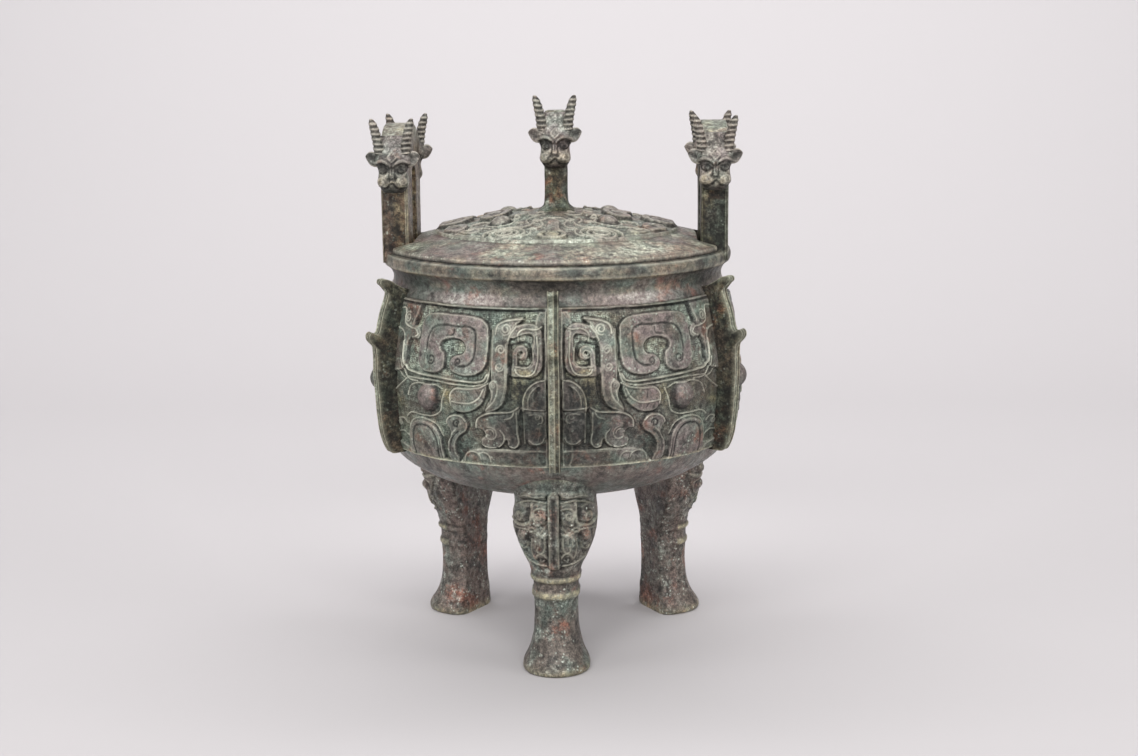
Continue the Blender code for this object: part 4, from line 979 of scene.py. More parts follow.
def makeFlange(number, angle):
    # across the thickness the rim has two light edges and a sunk middle; each rim point is joined with
    # a point inside the wall, so the two sides are flat
    rim = evenPath(smoothPath(flange["rim"], spacing=0.8), flange["rows"])
    along = np.gradient(rim, axis=0)
    along /= np.linalg.norm(along, axis=1)[:, None]
    across, sink, edge, dark, pale = np.array(flange["section"]).T
    root = np.linspace(rim[0, 1] + 0.8, rim[-1, 1] - 0.6, len(rim))
    rootRadius = bowlAt(root)[0] - flange["rooted"]
    radius = rim[:, :1] - along[:, 1:] * sink
    height = rim[:, 1:] + along[:, :1] * sink
    for column in (1, -2):
        radius[:, column] = rim[:, 0] * flange["shoulder"] + rootRadius * (1.0 - flange["shoulder"]) - 0.1
        height[:, column] = rim[:, 1] * flange["shoulder"] + root * (1.0 - flange["shoulder"])
    for column in (0, -1):
        radius[:, column], height[:, column] = rootRadius, root
    points = asPoints(across * flange["thickness"] / 2, -radius, height)
    m, n = radius.shape
    grid = np.arange(n * m).reshape(m, n)
    faces = [gridFaces(m, n), joinRows(grid[:, -1], grid[:, 0]), grid[0][None, ::-1], grid[-1][None, :]]
    points[:, 0] += 0.18 * latticeNoise(np.full(m * n, 7.0 * number), points[:, 1], points[:, 2], 14.0, 61)
    points = turnedTo(points, angle)
    edge, dark, pale = (np.tile(row, m) for row in (edge, dark, pale))
    patch = smoothStep(-0.9, 0.1, layeredNoise(*points.T, 9.0, 63))
    blot = smoothStep(-0.1, 0.4, layeredNoise(*points.T, 4.0, 64))
    patina = patinaOf(0.1 + 0.2 * blot, pale * patch, 0.15 * edge + 0.15 * blot, dark * (1.0 - 0.25 * blot))
    addPiece(f"flange_{number}", points, faces, patina, 0.8 * edge, bronze["dark_bronze"], vesselPart,
             sharp=42.0)


for flangeNumber in range(6):
    makeFlange(flangeNumber, 60.0 * flangeNumber + belt["turn"])
print("flanges made")

# Legs: height, half width, and radius of the section's centre.
leg = {
    "sections": [(0.0, 15.4, 67.4), (0.7, 16.6, 67.4), (2.0, 17.0, 67.4), (4.6, 16.3, 67.2),
                 (9.0, 13.9, 66.6), (16.0, 11.9, 65.8), (27.0, 10.9, 65.4), (39.8, 11.2, 65.5),
                 (47.9, 11.6, 65.5), (53.0, 12.9, 65.4), (59.0, 15.9, 64.4), (69.0, 19.8, 63.2),
                 (79.0, 21.0, 63.2), (88.0, 20.4, 63.2), (96.0, 22.0, 63.2), (100.0, 22.8, 63.0),
                 (105.0, 23.6, 62.8)],
    "rows": [(0.0, 6.0, 9), (7.6, 35.0, 18), (36.2, 51.4, 34), (52.0, 96.0, 96), (97.0, 105.0, 8)],
    "rings": [(39.8, 0.9, 1.7), (48.1, 1.15, 1.35)],  # height, stand, half width
    "ringSides": [(37.5, 1.0), (46.2, 0.9), (50.2, 0.9)],  # height and width of the darker bands beside them
    "innerFace": 55.6,
    "corner": 1.3,
    "footCorner": 5.0,
    "inWall": 2.0,  # how far a leg's top goes into the bowl's wall
    "angles": (0.0, 120.0, -120.0),
}
# one side of the leg's mask: distance from the ridge, and height
legSlabs = [
    ([(0, 95.2), (2.0, 94.2), (2.5, 91), (2.5, 80), (2.4, 66), (2.3, 55), (0, 54.4), (-2.3, 55),
      (-2.5, 80), (-2.5, 91),
      (-2.0, 94.2)], 2.0, 0.4),
    ([(3.4, 88.4), (9.8, 88.8), (11.2, 84), (11.4, 80.4), (9.4, 77.6), (4.6, 79.6)], 1.0, 0.25),
    ([(12.6, 86.8), (18, 88.4), (25, 86.4), (28, 82), (25, 79.6), (17, 79), (13.6, 80.4)], 0.9, 0.2),
    ([(12.4, 77.4), (20, 77.8), (27, 77.6), (24, 71), (20, 67.4), (15.6, 67.2), (12.4, 71)], 1.0, 0.6),
    ([(3.4, 72.6), (7.8, 73.6), (11.2, 70.4), (11.6, 65), (9.8, 60), (6, 58.2), (3.6, 60)], 0.8, 0.4),
    ([(3.4, 95), (10, 94.8), (18, 93.4), (20, 91), (12, 91.6), (3.4, 92.2)], 0.8, 0.2),
]
legRidges = [
    ([(2.2, 93.4), (2.2, 75), (2.1, 55.6)], 0.85, 0.8),
    ([(-2.2, 93.4), (-1.2, 95.2), (0.6, 95.3), (2.2, 93.4)], 0.85, 0.7),
    ([(3.2, 86.6), (7.4, 86.9), (9.4, 85.6), (10.0, 82.6), (8.8, 80.2)], 0.95, 0.85),
    ([(11.1, 88.6), (11.3, 82.4), (12.4, 79.2), (15.8, 78.0), (21, 78.0), (27, 79.6)], 1.7, 1.5),
    ([(3.4, 89.6), (9, 90.4), (15, 89.8), (20, 88.2)], 0.85, 0.7),
    ([(4.4, 93.4), (9, 92.6), (14, 93.2), (18, 92.0)], 0.85, 0.6),
    ([(3.6, 80.6), (8, 76.2), (12, 74.8)], 0.85, 0.7),
    ([(4.2, 77.6), (7.4, 74.4), (10.8, 76.8), (12.6, 76.6)], 0.85, 0.6),
    ([(4, 73.8), (9, 74), (13, 75.8), (20, 75.6), (25, 75.0)], 0.8, 0.6),
    ([(4.4, 71.8), (4.6, 66), (6, 64), (8.2, 65.2), (7.6, 67.4)], 0.85, 0.7),
    ([(6.6, 72), (6.8, 68.8)], 0.8, 0.5),
    ([(8.8, 72), (9.2, 67)], 0.8, 0.5),
    ([(11.4, 71), (11.6, 65.6), (9.6, 60.4)], 0.85, 0.7),
    ([(3.6, 61.4), (5.0, 63.4), (7.6, 63.2), (9, 61)], 0.95, 0.8),
    ([(13.4, 69.4), (15.4, 65.8), (19, 64.6), (22, 66.4)], 0.9, 0.7),
    ([(2.2, 56.6), (8, 57.0), (14, 58.6), (19, 60.6)], 0.95, 0.7),
    ([(15, 62.2), (17.4, 61.2), (19, 62.6)], 0.8, 0.5),
]
legCurls = [((7.4, 83.2), 2.2, 0.6, 20, -1.5), ((17.6, 82.0), 2.6, 1.2, 0, 1.3),
    ((6.3, 60.6), 1.7, 0.6, 60, 1.2)]
legBosses = [((17.6, 82.0), (4.2, 3.6), 2.7, 0.6, 0.15), ((17.0, 72.4), (3.7, 3.3), 2.9, 0.6, 0.9)]
legGrooves = [
    ([(3.0, 93.6), (3.1, 75), (2.9, 56)], 0.9, 0.6),
    ([(0.2, 92), (0.3, 80), (0.1, 58)], 1.5, 0.45),
    ([(5.2, 84.8), (7.6, 84.9), (8.5, 83)], 0.8, 0.4),
    ([(12.9, 85.8), (13.0, 82.0)], 1.9, 1.3),
    ([(5.2, 78.6), (8.4, 75.6)], 0.8, 0.5),
    ([(13.2, 73.6), (13.6, 70.6)], 1.7, 1.2),
    ([(4.6, 60.2), (6.3, 60.9), (7.4, 60)], 1.9, 1.3),
    ([(21.6, 74.4), (22.4, 70.4)], 1.2, 0.6),
    ([(16, 63.6), (19.4, 62.6)], 1.2, 0.5),
    ([(3.4, 91), (10, 91.6), (17, 90.8)], 0.8, 0.5),
]


def drawLeg():
    # half of the leg's mask on a flat sheet, x from the ridge outwards
    sheet = newSheet(-1.0, 34.0, 50.0, 98.0, 0.3)
    drawStrokes(sheet, np.asarray, 0.9, (0.8, 0.75), legBosses, legRidges, legGrooves, legCurls, legSlabs)
    return finishSheet(sheet)


legSheet = drawLeg()


def underWall(points):
    # a leg's top is pressed down onto the middle of the bowl's wall, so nothing of it shows inside
    low = outsideCurve[outsideCurve[:, 1] < 140.0]
    radii, heights = low[np.argsort(low[:, 0])].T
    wall = np.interp(np.hypot(points[:, 0], points[:, 1]), radii, heights) + leg["inWall"]
    points[:, 2] = np.minimum(points[:, 2], wall)
    return points


def makeLeg(number, angle):
    # each section is half a circle outside and a flat face with round corners inside; the mask and the
    # rings are added along the section's outward direction
    z = np.concatenate([np.linspace(*stretch) for stretch in leg["rows"]])
    half, centre = readProfile(leg["sections"], z, 0.6)
    inner = leg["innerFace"]
    c = leg["corner"] + leg["footCorner"] * smoothStep(13.0, 2.0, z)[:, None]
    phi = np.radians(np.linspace(-90.0, 90.0, 111))
    share = np.linspace(0.0, 1.0, 6)[1:-1]
    bend = np.radians(np.linspace(0.0, 90.0, 4))
    straight = centre + (inner + c - centre) * share
    rows = [  # outside, side, corner, inner face, corner, side
        (centre + half * np.cos(phi), half * np.sin(phi)), (straight, half + 0.0 * share),
        (inner + c - c * np.sin(bend), half - c + c * np.cos(bend)),
        (inner + 0.0 * share + 0.0 * half, (half - c) * (1.0 - 2.0 * share)),
        (inner + c - c * np.cos(bend), -(half - c) - c * np.sin(bend)),
        (straight[:, ::-1], -half + 0.0 * share)]
    depth, across = (np.concatenate([row[i] for row in rows], axis=1) for i in (0, 1))
    none = 0.0 * share
    outX = np.concatenate([np.cos(phi), none, -np.sin(bend), none - 1.0, -np.cos(bend), none])
    outY = np.concatenate([np.sin(phi), none + 1.0, np.cos(bend), none, -np.sin(bend), none - 1.0])
    m, n = depth.shape
    around = np.full(n - len(phi), 2.2)
    around[[0, 1, 2, 3, -4, -3, -2, -1]] = 1.6
    turn = np.concatenate([np.abs(phi), around])[None, :]
    arc = turn * half
    high = np.broadcast_to(z[:, None], depth.shape)
    fade = smoothStep(1.58, 1.45, turn) * smoothStep(52.5, 54.5, high) * smoothStep(97.5, 95.0, high)
    far = number * 55.0
    place = (depth + far, across, high)
    shakeX, shakeY = 0.3 * latticeNoise(*place, 8.0, 71), 0.3 * latticeNoise(*place, 8.0, 72)
    layers = readSheet(legSheet, arc + shakeX, high + shakeY, "height", "hollow", "crest", "tint", "ground")
    lift, hollow, crest, tint, ground = (layer * fade for layer in layers)
    ring = sum(stand * hump(high + 0.5 * shakeY, middle, wide, 4) for middle, stand, wide in leg["rings"])
    ring = ring * (0.18 + 0.82 * smoothStep(2.1, 1.7, turn))
    rough = 0.12 * layeredNoise(*place, 4.0, 73, 2) + 0.25 * latticeNoise(*place, 15.0, 74)
    stand = lift - 0.3 * ground + ring + rough * smoothStep(0.0, 2.0, high)
    depth, across = depth + stand * outX, across + stand * outY
    points = underWall(asPoints(across, -depth, high))

    # the front leg is greener and darker than the two rear ones; rings and feet carry ochre crust; the mask's
    # hollows get painted shade
    outer = (outX > 0.05).astype(float)[None, :]
    ringMark = np.clip(ring, 0.0, 1.0)
    patch = layeredNoise(depth + far, across, high, 9.0, 75)
    foot = hump(high, 0.0, 3.0)
    beside = sum(hump(high, middle, wide) for middle, wide in leg["ringSides"])
    collar = hump(high + 4.0 * turn**2, 98.5, 2.2)
    isFront = number == 0
    skin = (0.1 if isFront else 0.32) + 0.4 * tint + 0.35 * (1 - outer)
    pale = 0.35 * outer * smoothStep(0.1, 0.6, patch) * (1 - fade) + 0.12 * ground
    pale = pale + 0.08 * fade * smoothStep(-0.3, 0.4, patch)
    ochre = 0.55 * ringMark * outer + 0.45 * foot + 0.2 * hump(high, 102.0, 1.5)
    dark = (0.10 if isFront else 0.0) + 0.80 * smoothStep(0.2, 0.9, hollow) + 0.35 * beside + 0.4 * collar
    wearAndSheen = crest * 0.50 + 0.30 * ringMark * outer + 0.15 * foot
    patina = patinaOf(skin, pale, ochre, dark)
    addPiece(f"leg_{number}", turnedTo(points, angle), tubeFaces(m, n), patina, wearAndSheen, bronze["leg_bronze"],
             vesselPart, sharp=50.0)


for legNumber, legAngle in enumerate(leg["angles"]):
    makeLeg(legNumber, legAngle)
print("legs made")

# Animal heads. Sections of the skull: height over the eyes, half width, depth in front of the post.
head = {
    "skull": [(-11.6, 4.6, 2.0), (-10.2, 6.0, 4.6), (-8.6, 7.0, 6.6), (-6.2, 7.8, 8.0), (-3.4, 7.6, 7.9),
              (-0.6, 7.4, 6.6), (2.6, 8.8, 6.6), (5.6, 9.3, 6.4), (8.6, 8.6, 5.0), (11.4, 7.6, 3.4),
              (14.4, 6.6, 1.8), (17.0, 5.9, 0.7)],
    "squareness": 0.78,
    "inPost": 3.0,  # how far the skull goes back into its post
    "hornRoot": (6.7, -2.6, 10.4),
    "hornSunk": 2.2,
    "hornLean": 3.3,
    "hornLength": 15.4,
    "hornRadius": (2.85, 2.6),
    "hornRings": 7,
    "ear": [(6.0, 4.8, 2.6, 1.5), (8.6, 5.2, 3.7, 1.5), (11.3, 5.9, 3.6, 1.2), (13.7, 6.8, 1.8, 0.8)],
}
# one side of the face: distance from its middle, and height over the eyes
faceBands = [([(0.9, 2.0), (2.8, 3.9), (5.6, 4.6), (8.4, 3.4)], 1.8, 1.3, 0.3)]
faceBosses = [((4.3, -6.4), (4.2, 3.4), 1.3, 0.8, 0.2), ((4.5, 0.1), (2.5, 1.7), 1.3, 0.6, 0.0)]
faceRidges = [
    ([(1.7, -1.4), (3.4, -2.7), (5.6, -2.4), (7.6, -0.2)], 0.8, 0.4),
    ([(1.4, 3.2), (3.6, 4.9), (6.4, 5.2)], 0.7, 0.4),
]
faceGrooves = [
    ([(1.5, 1.2), (4.4, 2.6), (7.8, 1.6)], 1.3, 0.9),
    ([(1.8, 2.4), (1.4, -1.6), (1.9, -4.2)], 1.0, 0.6),
    ([(0.7, -4.3), (1.5, -4.7)], 1.3, 1.0),
    ([(0.5, -6.6), (2.6, -8.6), (7.0, -9.0)], 1.0, 0.8),
]


def drawFace():
    # eyes, brows, nose and mouth, drawn for one side and mirrored; then what lies in the middle
    sheet = newSheet(-12.0, 12.0, -13.0, 19.0, 0.22)
    for side in (-1.0, 1.0):
        def mirrored(points):
            # the drawing's x times -1 on the left side
            return np.asarray(points, float) * (side, 1.0)

        drawStrokes(sheet, mirrored, 1.1, (0.8, 0.5), faceBosses, faceRidges, faceGrooves,
                    [((5.0, -5.6), 2.4, 0.8, 90 + 60 * side, -1.1 * side)], bands=faceBands)
        cutGroove(sheet, curl((side * 4.5, 0.1), 0.5, 0.1, 0, 1.0), 1.2, 0.5, plain=True)
        cutGroove(sheet, oval((side * 4.725, 0.08), 2.205, 1.68), 1.0, 0.6, plain=True)
        drawRidge(sheet, mirrored([(0.2, 8.9), (2.3, 6.5), (0.0, 4.1)]), 0.7, 0.6, plain=True)
        for step in range(5):
            hair = mirrored([(1.4 + step, 9.6 + 0.3 * step), (0.3 + step, 13.6)])
            cutGroove(sheet, hair, 0.5, 0.22, plain=True)
    raiseSlab(sheet, [(0.0, 3.0), (0.0, -4.2)], 0.8, 1.2, 0.0, width=2.0)
    cutGroove(sheet, [(0.0, 3.6), (0.0, -2.0)], 0.8, 0.5)
    raiseBoss(sheet, (0.0, -4.4), (2.0, 1.7), 1.4, 0.6)
    return finishSheet(sheet, 20)


faceSheet = drawFace()


def makeSkull(name, place, turn, part):
    # a half round section, (w |cos|^s, d |sin|^s), from chin to crown, lifted by the face's sheet
    z = np.linspace(head["skull"][0][0], head["skull"][-1][0], 66)[:, None]
    half, deep = readProfile(head["skull"], z[:, 0])
    phi = np.linspace(0.0, np.pi, 61)[None, :]
    s = head["squareness"]
    x = -np.sign(np.cos(phi)) * np.abs(np.cos(phi)) ** s * half
    y = np.sin(phi) ** s * deep
    high = z + 0.0 * x
    lift, hollow, crest = readSheet(faceSheet, x, high, "height", "hollow", "crest")
    size = np.hypot(x / half, y / np.maximum(deep, 0.5)) + 1e-6
    outX, outY = x / half / size, y / np.maximum(deep, 0.5) / size
    rough = 0.12 * layeredNoise(x + place[0], y + place[1], high, 2.6, 83, 2)
    lift = (lift + rough) * smoothStep(0.0, 0.25, np.sin(phi) + 0 * high)
    x, y = x + 0.6 * lift * outX, y + lift * outY
    m, n = x.shape
    back = asPoints(x[:, [0, -1]] * 0.8, head["inPost"], z)
    points = np.vstack([asPoints(x, -y, high), back])
    rear = n * m + np.arange(2 * m).reshape(m, 2)
    around = np.concatenate([np.arange(n * m).reshape(m, n), rear[:, ::-1]], axis=1)
    columns = around[:, [n - 1, n, n + 1, 0]].T
    faces = [gridFaces(m, n), *(joinRows(a, b) for a, b in zip(columns[:-1], columns[1:])),
             around[0][None, ::-1], around[-1][None, :]]

    # painted shade in the face's hollows and under the chin, dark eyes, ochre on the cheeks, pale crust on
    # the brow
    under = smoothStep(-7.6, -10.4, high)
    eyes = hump(np.hypot(np.abs(x) - 4.5, 1.2 * (high - 0.1)), 0.0, 1.9, 4)
    dark = 0.10 + 0.85 * smoothStep(0.2, 0.9, hollow) + 0.7 * under + 0.55 * eyes
    blot = smoothStep(-0.3, 0.3, layeredNoise(x + place[0], y + place[1], high, 6.0, 84, 2))
    upper = 0.5 + 0.5 * smoothStep(5.0, 10.0, high) + 0.4 * smoothStep(-3.0, -6.0, high)
    pale = (0.08 + 0.30 * blot) * (1 - under) * upper
    cheek = smoothStep(0.0, -5.0, high) * (1 - under) * (1.0 - 0.6 * blot)
    addPiece(name, turnedTo(points, turn) + place, faces, patinaOf(0.7 * (1 - blot), pale, 0.6 * cheek, dark),
             crest * 0.6 * (1.0 - 0.7 * eyes), bronze["head_bronze"], part)


def makeHorn(name, side, place, turn, part):
    # a tapering tube along a line that leans out: radius (thick + (thin - thick) t) (0.85 + 0.15 wave),
    # where wave = |cos(pi (rings t + 0.13 sin(a + 0.8)))|^1.8 makes the slanting rings
    t = np.linspace(0.0, 1.0, 60)[:, None]
    a = np.linspace(0.0, 2.0 * np.pi, 20, endpoint=False)[None, :]
    thick, thin = head["hornRadius"]
    rootX, rootY, rootZ = head["hornRoot"]
    grain = layeredNoise(3.0 * np.cos(a) + place[0], 3.0 * np.sin(a) + side, 16.0 * t + place[1], 2.6, 86, 2)
    slant = 0.13 * side * np.sin(a + 0.8)
    wave = np.abs(np.cos(np.pi * (head["hornRings"] * t + slant + 0.10 * grain))) ** 1.8
    radius = (thick + (thin - thick) * t) * (0.85 + 0.15 * wave + 0.04 * grain)
    radius = radius * np.sqrt(np.clip(1.0 - t**7, 0.0, 1.0) + 1e-4)
    x = side * (rootX + head["hornLean"] * t**1.6) + radius * np.cos(a)
    y = rootY - 1.5 * t + radius * np.sin(a)
    low, length = rootZ - head["hornSunk"], head["hornLength"] + head["hornSunk"]
    z = low + length * t + side * 0.12 * radius * np.cos(a)
    valley = 1.0 - wave + 0.25 * grain
    addPiece(name, turnedTo(asPoints(x, y, z), turn) + place, tubeFaces(*x.shape),
             patinaOf(0.3, 0.03, 0.1, 0.18 + 0.62 * smoothStep(0.3, 0.8, valley)),
             0.55 * smoothStep(0.35, 0.0, valley), bronze["head_bronze"], part)


def makeEar(name, side, place, turn, part):
    # a leaf: sections that grow and then shrink outwards, hollowed on the front
    t = np.linspace(0.0, 1.0, 22)[:, None]
    run = np.linspace(head["ear"][0][0], head["ear"][-1][0], 22)
    rise, half, thick = readProfile(head["ear"], run)
    close = np.sqrt(np.clip(1.0 - t**6, 0.02, 1.0))
    a = np.linspace(0.0, 2.0 * np.pi, 22, endpoint=False)[None, :]
    up, forward = half * close * np.sin(a), thick * close * np.cos(a)
    cup = 0.9 * thick * hump(up, 0.0, 0.55 * half) * np.clip(np.cos(a), 0.0, 1.0) * smoothStep(0.1, 0.4, t)
    points = asPoints(side * run[:, None], -2.2 - forward + cup, rise + up + 0.12 * forward)
    inside = cup / 1.2
    wearAndSheen = 0.6 * (1.0 - np.clip(3.0 * inside, 0, 1)) * (np.abs(np.cos(a)) < 0.5)
    patina = patinaOf(0.2, 0.1, 0.0, 0.9 * np.clip(inside, 0, 1))
    addPiece(name, turnedTo(points, turn) + place, tubeFaces(*cup.shape), patina, wearAndSheen,
             bronze["head_bronze"], part)


def makeHead(name, place, turn, part):
    # skull, two horns and two ears; place is the middle between the eyes on the post's face
    makeSkull(f"{name}_skull", place, turn, part)
    for word, side in (("left", -1.0), ("right", 1.0)):
        makeHorn(f"{name}_{word}_horn", side, place, turn, part)
        makeEar(f"{name}_{word}_ear", side, place, turn, part)


# Handles: upright loops. The inner edge is (distance from the middle, height).
handle = {
    "centre": 80.9,
    "half": 6.8,
    "inner": [(-8.0, 201.7), (-8.0, 222.0), (-8.0, 243.2), (-6.5, 246.8), (-3.0, 248.2), (0.0, 248.3),
              (3.0, 248.2), (6.5, 246.8), (8.0, 243.2), (8.0, 222.0), (8.0, 201.7)],
    "post": 27.5,
    "shoulder": 260.2,
    "rise": 10.9,
    "corner": 1.1,
    "panel": (-6.0, 5.1, 207.0, 237.6, 0.55),  # start and end across, lower and upper end, depth
    "columns": 196,
    "eyes": 248.9,
}


def handleContours(count):
    # the loop's inner and outer edges with matched points: up one post, over the arch, down the other
    post, across = handle["post"], np.linspace(-1.0, 1.0, 61)
    crown = handle["shoulder"] + handle["rise"] * np.cos(np.pi / 2 * across) ** 0.6
    arch = np.stack([across * post, crown], axis=1)
    rise = np.linspace(201.7, 258.0, 50)
    low, high = (np.stack([np.full(50, x), z], axis=1) for x, z in ((-post, rise), (post, rise[::-1])))
    upright = int(count * 0.36)
    shares = np.concatenate([np.linspace(0.0, 0.36, upright, endpoint=False),
                             np.linspace(0.36, 0.64, int(count * 0.28), endpoint=False),
                             np.linspace(0.64, 1.0, upright + 1)])
    return pointsAlong(np.array(handle["inner"]), shares), pointsAlong(np.vstack([low, arch, high]), shares)


def makeHandle(name, side):
    # each section lies between the matched points of the two edges: a rectangle with round corners,
    # whose outer face holds the sunk panel
    inner, outer = handleContours(handle["columns"])
    half, c = handle["half"], handle["corner"]
    start, end, low, high, depth = handle["panel"]
    bend = np.radians(np.linspace(0.0, 90.0, 4))
    edge = np.array([start, start + 0.3, -3.6, -1.7, 0.2, 2.1, end - 0.25, end + 0.15, 0.5 * (end + half)])
    top = np.concatenate([-half + c - c * np.cos(bend), edge, half - c + c * np.sin(bend)])
    topIn = np.concatenate([c - c * np.sin(bend), 0 * edge, c - c * np.cos(bend)])
    share = np.linspace(0.1, 0.9, 7)
    none, plain = 0 * share, 0 * top
    x = np.concatenate([top, none + half, top[::-1], none - half])
    offset = np.concatenate([-topIn, none, topIn[::-1], none])
    mixing = np.concatenate([plain + 1.0, 1.0 - share, plain, share])
    beam = outer - inner
    thick = np.linalg.norm(beam, axis=1)[:, None]
    isOuter = np.arange(len(x)) < len(top)
    sunk = smoothStep(low - 0.3, low + 0.3, outer[:, 1]) * smoothStep(high + 0.3, high - 0.3, outer[:, 1])
    straight = (np.abs(np.abs(outer[:, 0]) - handle["post"]) < 0.01).astype(float)[:, None]
    isPanel = (isOuter & (x > start) & (x < end)) * sunk[:, None] * straight
    reach = mixing * thick + offset - depth * isPanel
    y, z = (inner[:, i, None] + beam[:, i, None] / thick * reach for i in (0, 1))
    across = x + 0.12 * latticeNoise(y + 30 * side, z, 0 * z, 12.0, 91)
    points = asPoints(side * handle["centre"] + across, y, z)

    # the right handle is dark with pale specks, the left one browner; the crowns are pale
    isRim = (isOuter & ((x > end) & (x < half) | (x < start) & (x > 0.3 - half))) * straight
    patch = layeredNoise(*points.T, 8.0, 93).reshape(y.shape)
    shaded = smoothStep(0.0, -0.5, patch)
    crown = smoothStep(258.0, 266.0, z)
    isRight = side > 0
    dark = 0.30 * isPanel + 0.45 * isPanel * shaded + 0.12 * shaded
    pale = (0.35 * smoothStep(0.05, 0.5, patch) + 0.15 * isRim) * (0.5 if isRight else 0.7) + 0.35 * crown
    if isRight:
        speck = 0.6 * smoothStep(0.05, 0.45, layeredNoise(*points.T, 4.2, 95)).reshape(y.shape)
        dark = dark + 0.62 * (1.0 - 0.8 * speck) * (1.0 - crown)
        pale = pale + 0.25 * speck
    patina = patinaOf(0.1 if isRight else 0.8, pale, 0.22 * (np.sign(x) == -side) * (patch < 0.2), dark)
    addPiece(name, points, tubeFaces(*y.shape), patina, 0.3 * isRim + 0.15 * crown, bronze["dark_bronze"],
             vesselPart, sharp=36.0)


for handleWord, handleSide in (("left", -1.0), ("right", 1.0)):
    makeHandle(f"handle_{handleWord}", handleSide)
    for faceWord, faceTurn, postSide in (("front", 0.0, -1.0), ("rear", 180.0, 1.0)):
        spot = (handleSide * handle["centre"], handle["post"] * postSide, handle["eyes"])
        makeHead(f"head_{handleWord}_{faceWord}", spot, faceTurn, vesselPart)
print("handles made")

# The lid. Heights grow from the edge inwards by rise * (1 - (r / radius)^power).
lid = {
    "under": 206.5,
    "edge": 2.7,
    "radius": 87.5,
    "rise": 16.2,
    "power": 1.35,
    "disc": 63.0,
    "step": 1.4,
    "wall": 3.0,
    "notch": (72.6, 28.4, 31.5),
    "ring": (72.0, 69.0, 200.7),
    "columns": 420,
    "zoneFrom": 62.2,  # where the plain zone begins, just under the disc's edge
    "cells": 262,
}


def lidHeight(radius):
    # the lid's own dome, without the disc's step
    return lid["under"] + lid["edge"] + lid["rise"] * (1.0 - (radius / lid["radius"]) ** lid["power"])


def lidBoundary(count):
    # the lid's edge seen from above: the circle, cut in by a notch at each handle
    inner, low, wide = lid["notch"]
    slope = (wide - low) / 20.9
    meet = inner
    for _ in range(30):
        meet = math.sqrt(lid["radius"] ** 2 - (low + slope * (meet - inner)) ** 2)
    corner = math.atan2(low + slope * (meet - inner), meet)
    arc = np.linspace(corner, math.pi - corner, 200)
    upper = np.stack([lid["radius"] * np.cos(arc), lid["radius"] * np.sin(arc)], axis=1)
    left = np.array([(-inner, low), (-inner, 0.0), (-inner, -low)])
    return evenPath(np.vstack([upper, left, -upper, -left, upper[:1]]), count + 1)[:-1]


def makeLidShell():
    # rows go from the middle over the outer zone to the notched edge, down, and back under the dome;
    # each row mixes a circle with the edge line
    n, under = lid["columns"], lid["under"]
    edge = lidBoundary(n)
    reach = np.hypot(edge[:, 0], edge[:, 1])
    ring = edge / reach[:, None]
    start = lid["zoneFrom"]
    rows = [(ring * r, lidHeight(r) - 0.9) for r in (8.0, 22.0, 38.0, 52.0, 61.2)]
    for share in np.linspace(0.0, 1.0, 15):
        rows.append((ring * start * (1 - share) + (edge - ring * 0.7) * share,
                     lidHeight(start * (1 - share) + (reach - 0.7) * share)))
    rows += [(edge - ring * 0.15, lidHeight(reach) - 0.55), (edge, lidHeight(reach) - 1.2),
             (edge, under + 0.5), (edge - ring * 0.4, under)]
    outer, inner, low = lid["ring"]
    rows += [(ring * r, z) for r, z in (
        (outer, under), (outer - 0.6, low + 0.4), (outer - 1.0, low), (inner + 0.4, low), (inner, low + 0.4),
        (inner, under + 0.6))]
    rows += [(ring * r, lidHeight(r) + lid["step"] * (r < 62) - lid["wall"])
             for r in (64.0, 61.0, 52.0, 42.0, 30.0, 18.0, 8.0)]
    points = np.vstack([np.column_stack([spots, np.broadcast_to(z, n)]) for spots, z in rows])
    m = len(rows)
    row = np.repeat(np.arange(m), n)
    points[:, 2] += 0.16 * layeredNoise(*points.T, 13.0, 101) * ((row >= 6) & (row < 21))
    top = float(lidHeight(0.0))
    points = np.vstack([points, [[0.0, 0.0, top - 0.9], [0.0, 0.0, top + lid["step"] - lid["wall"]]]])
    number = np.arange(m * n).reshape(m, n)
    faces = [gridFaces(m, n, wrap=True), fanFaces(number[0][::-1], m * n), fanFaces(number[-1], m * n + 1)]

    # rows 20 and 21 are the worn edge, rows 21 to 23 the grimy seam, and from 24 on the underside
    row = np.append(row, [0, m])
    spot = layeredNoise(*points.T, 19.0, 103)
    far = np.hypot(points[:, 0], points[:, 1])
    shares = ((0.2, 0.55 * smoothStep(0.1, -0.3, spot) + 0.3 * smoothStep(84.0, 87.0, far)),
              (0.1, 0.75 * smoothStep(0.0, 0.45, spot) * smoothStep(86.0, 80.0, far)),
              (0.0, 0.2 * smoothStep(-0.2, 0.2, spot)),
              (0.3, 0.5 * hump(far, 63.8, 0.8) + 0.35 * (row == 21) + 0.9 * ((row == 22) | (row == 23))))
    patina = patinaOf(*(np.where(row >= 24, below, above) for below, above in shares))
    addPiece("lid_shell", points, faces, patina, 0.22 * ((row == 20) | (row == 21)),
             bronze["lid_crusted_bronze"], lidPart, sharp=36.0)


makeLidShell()

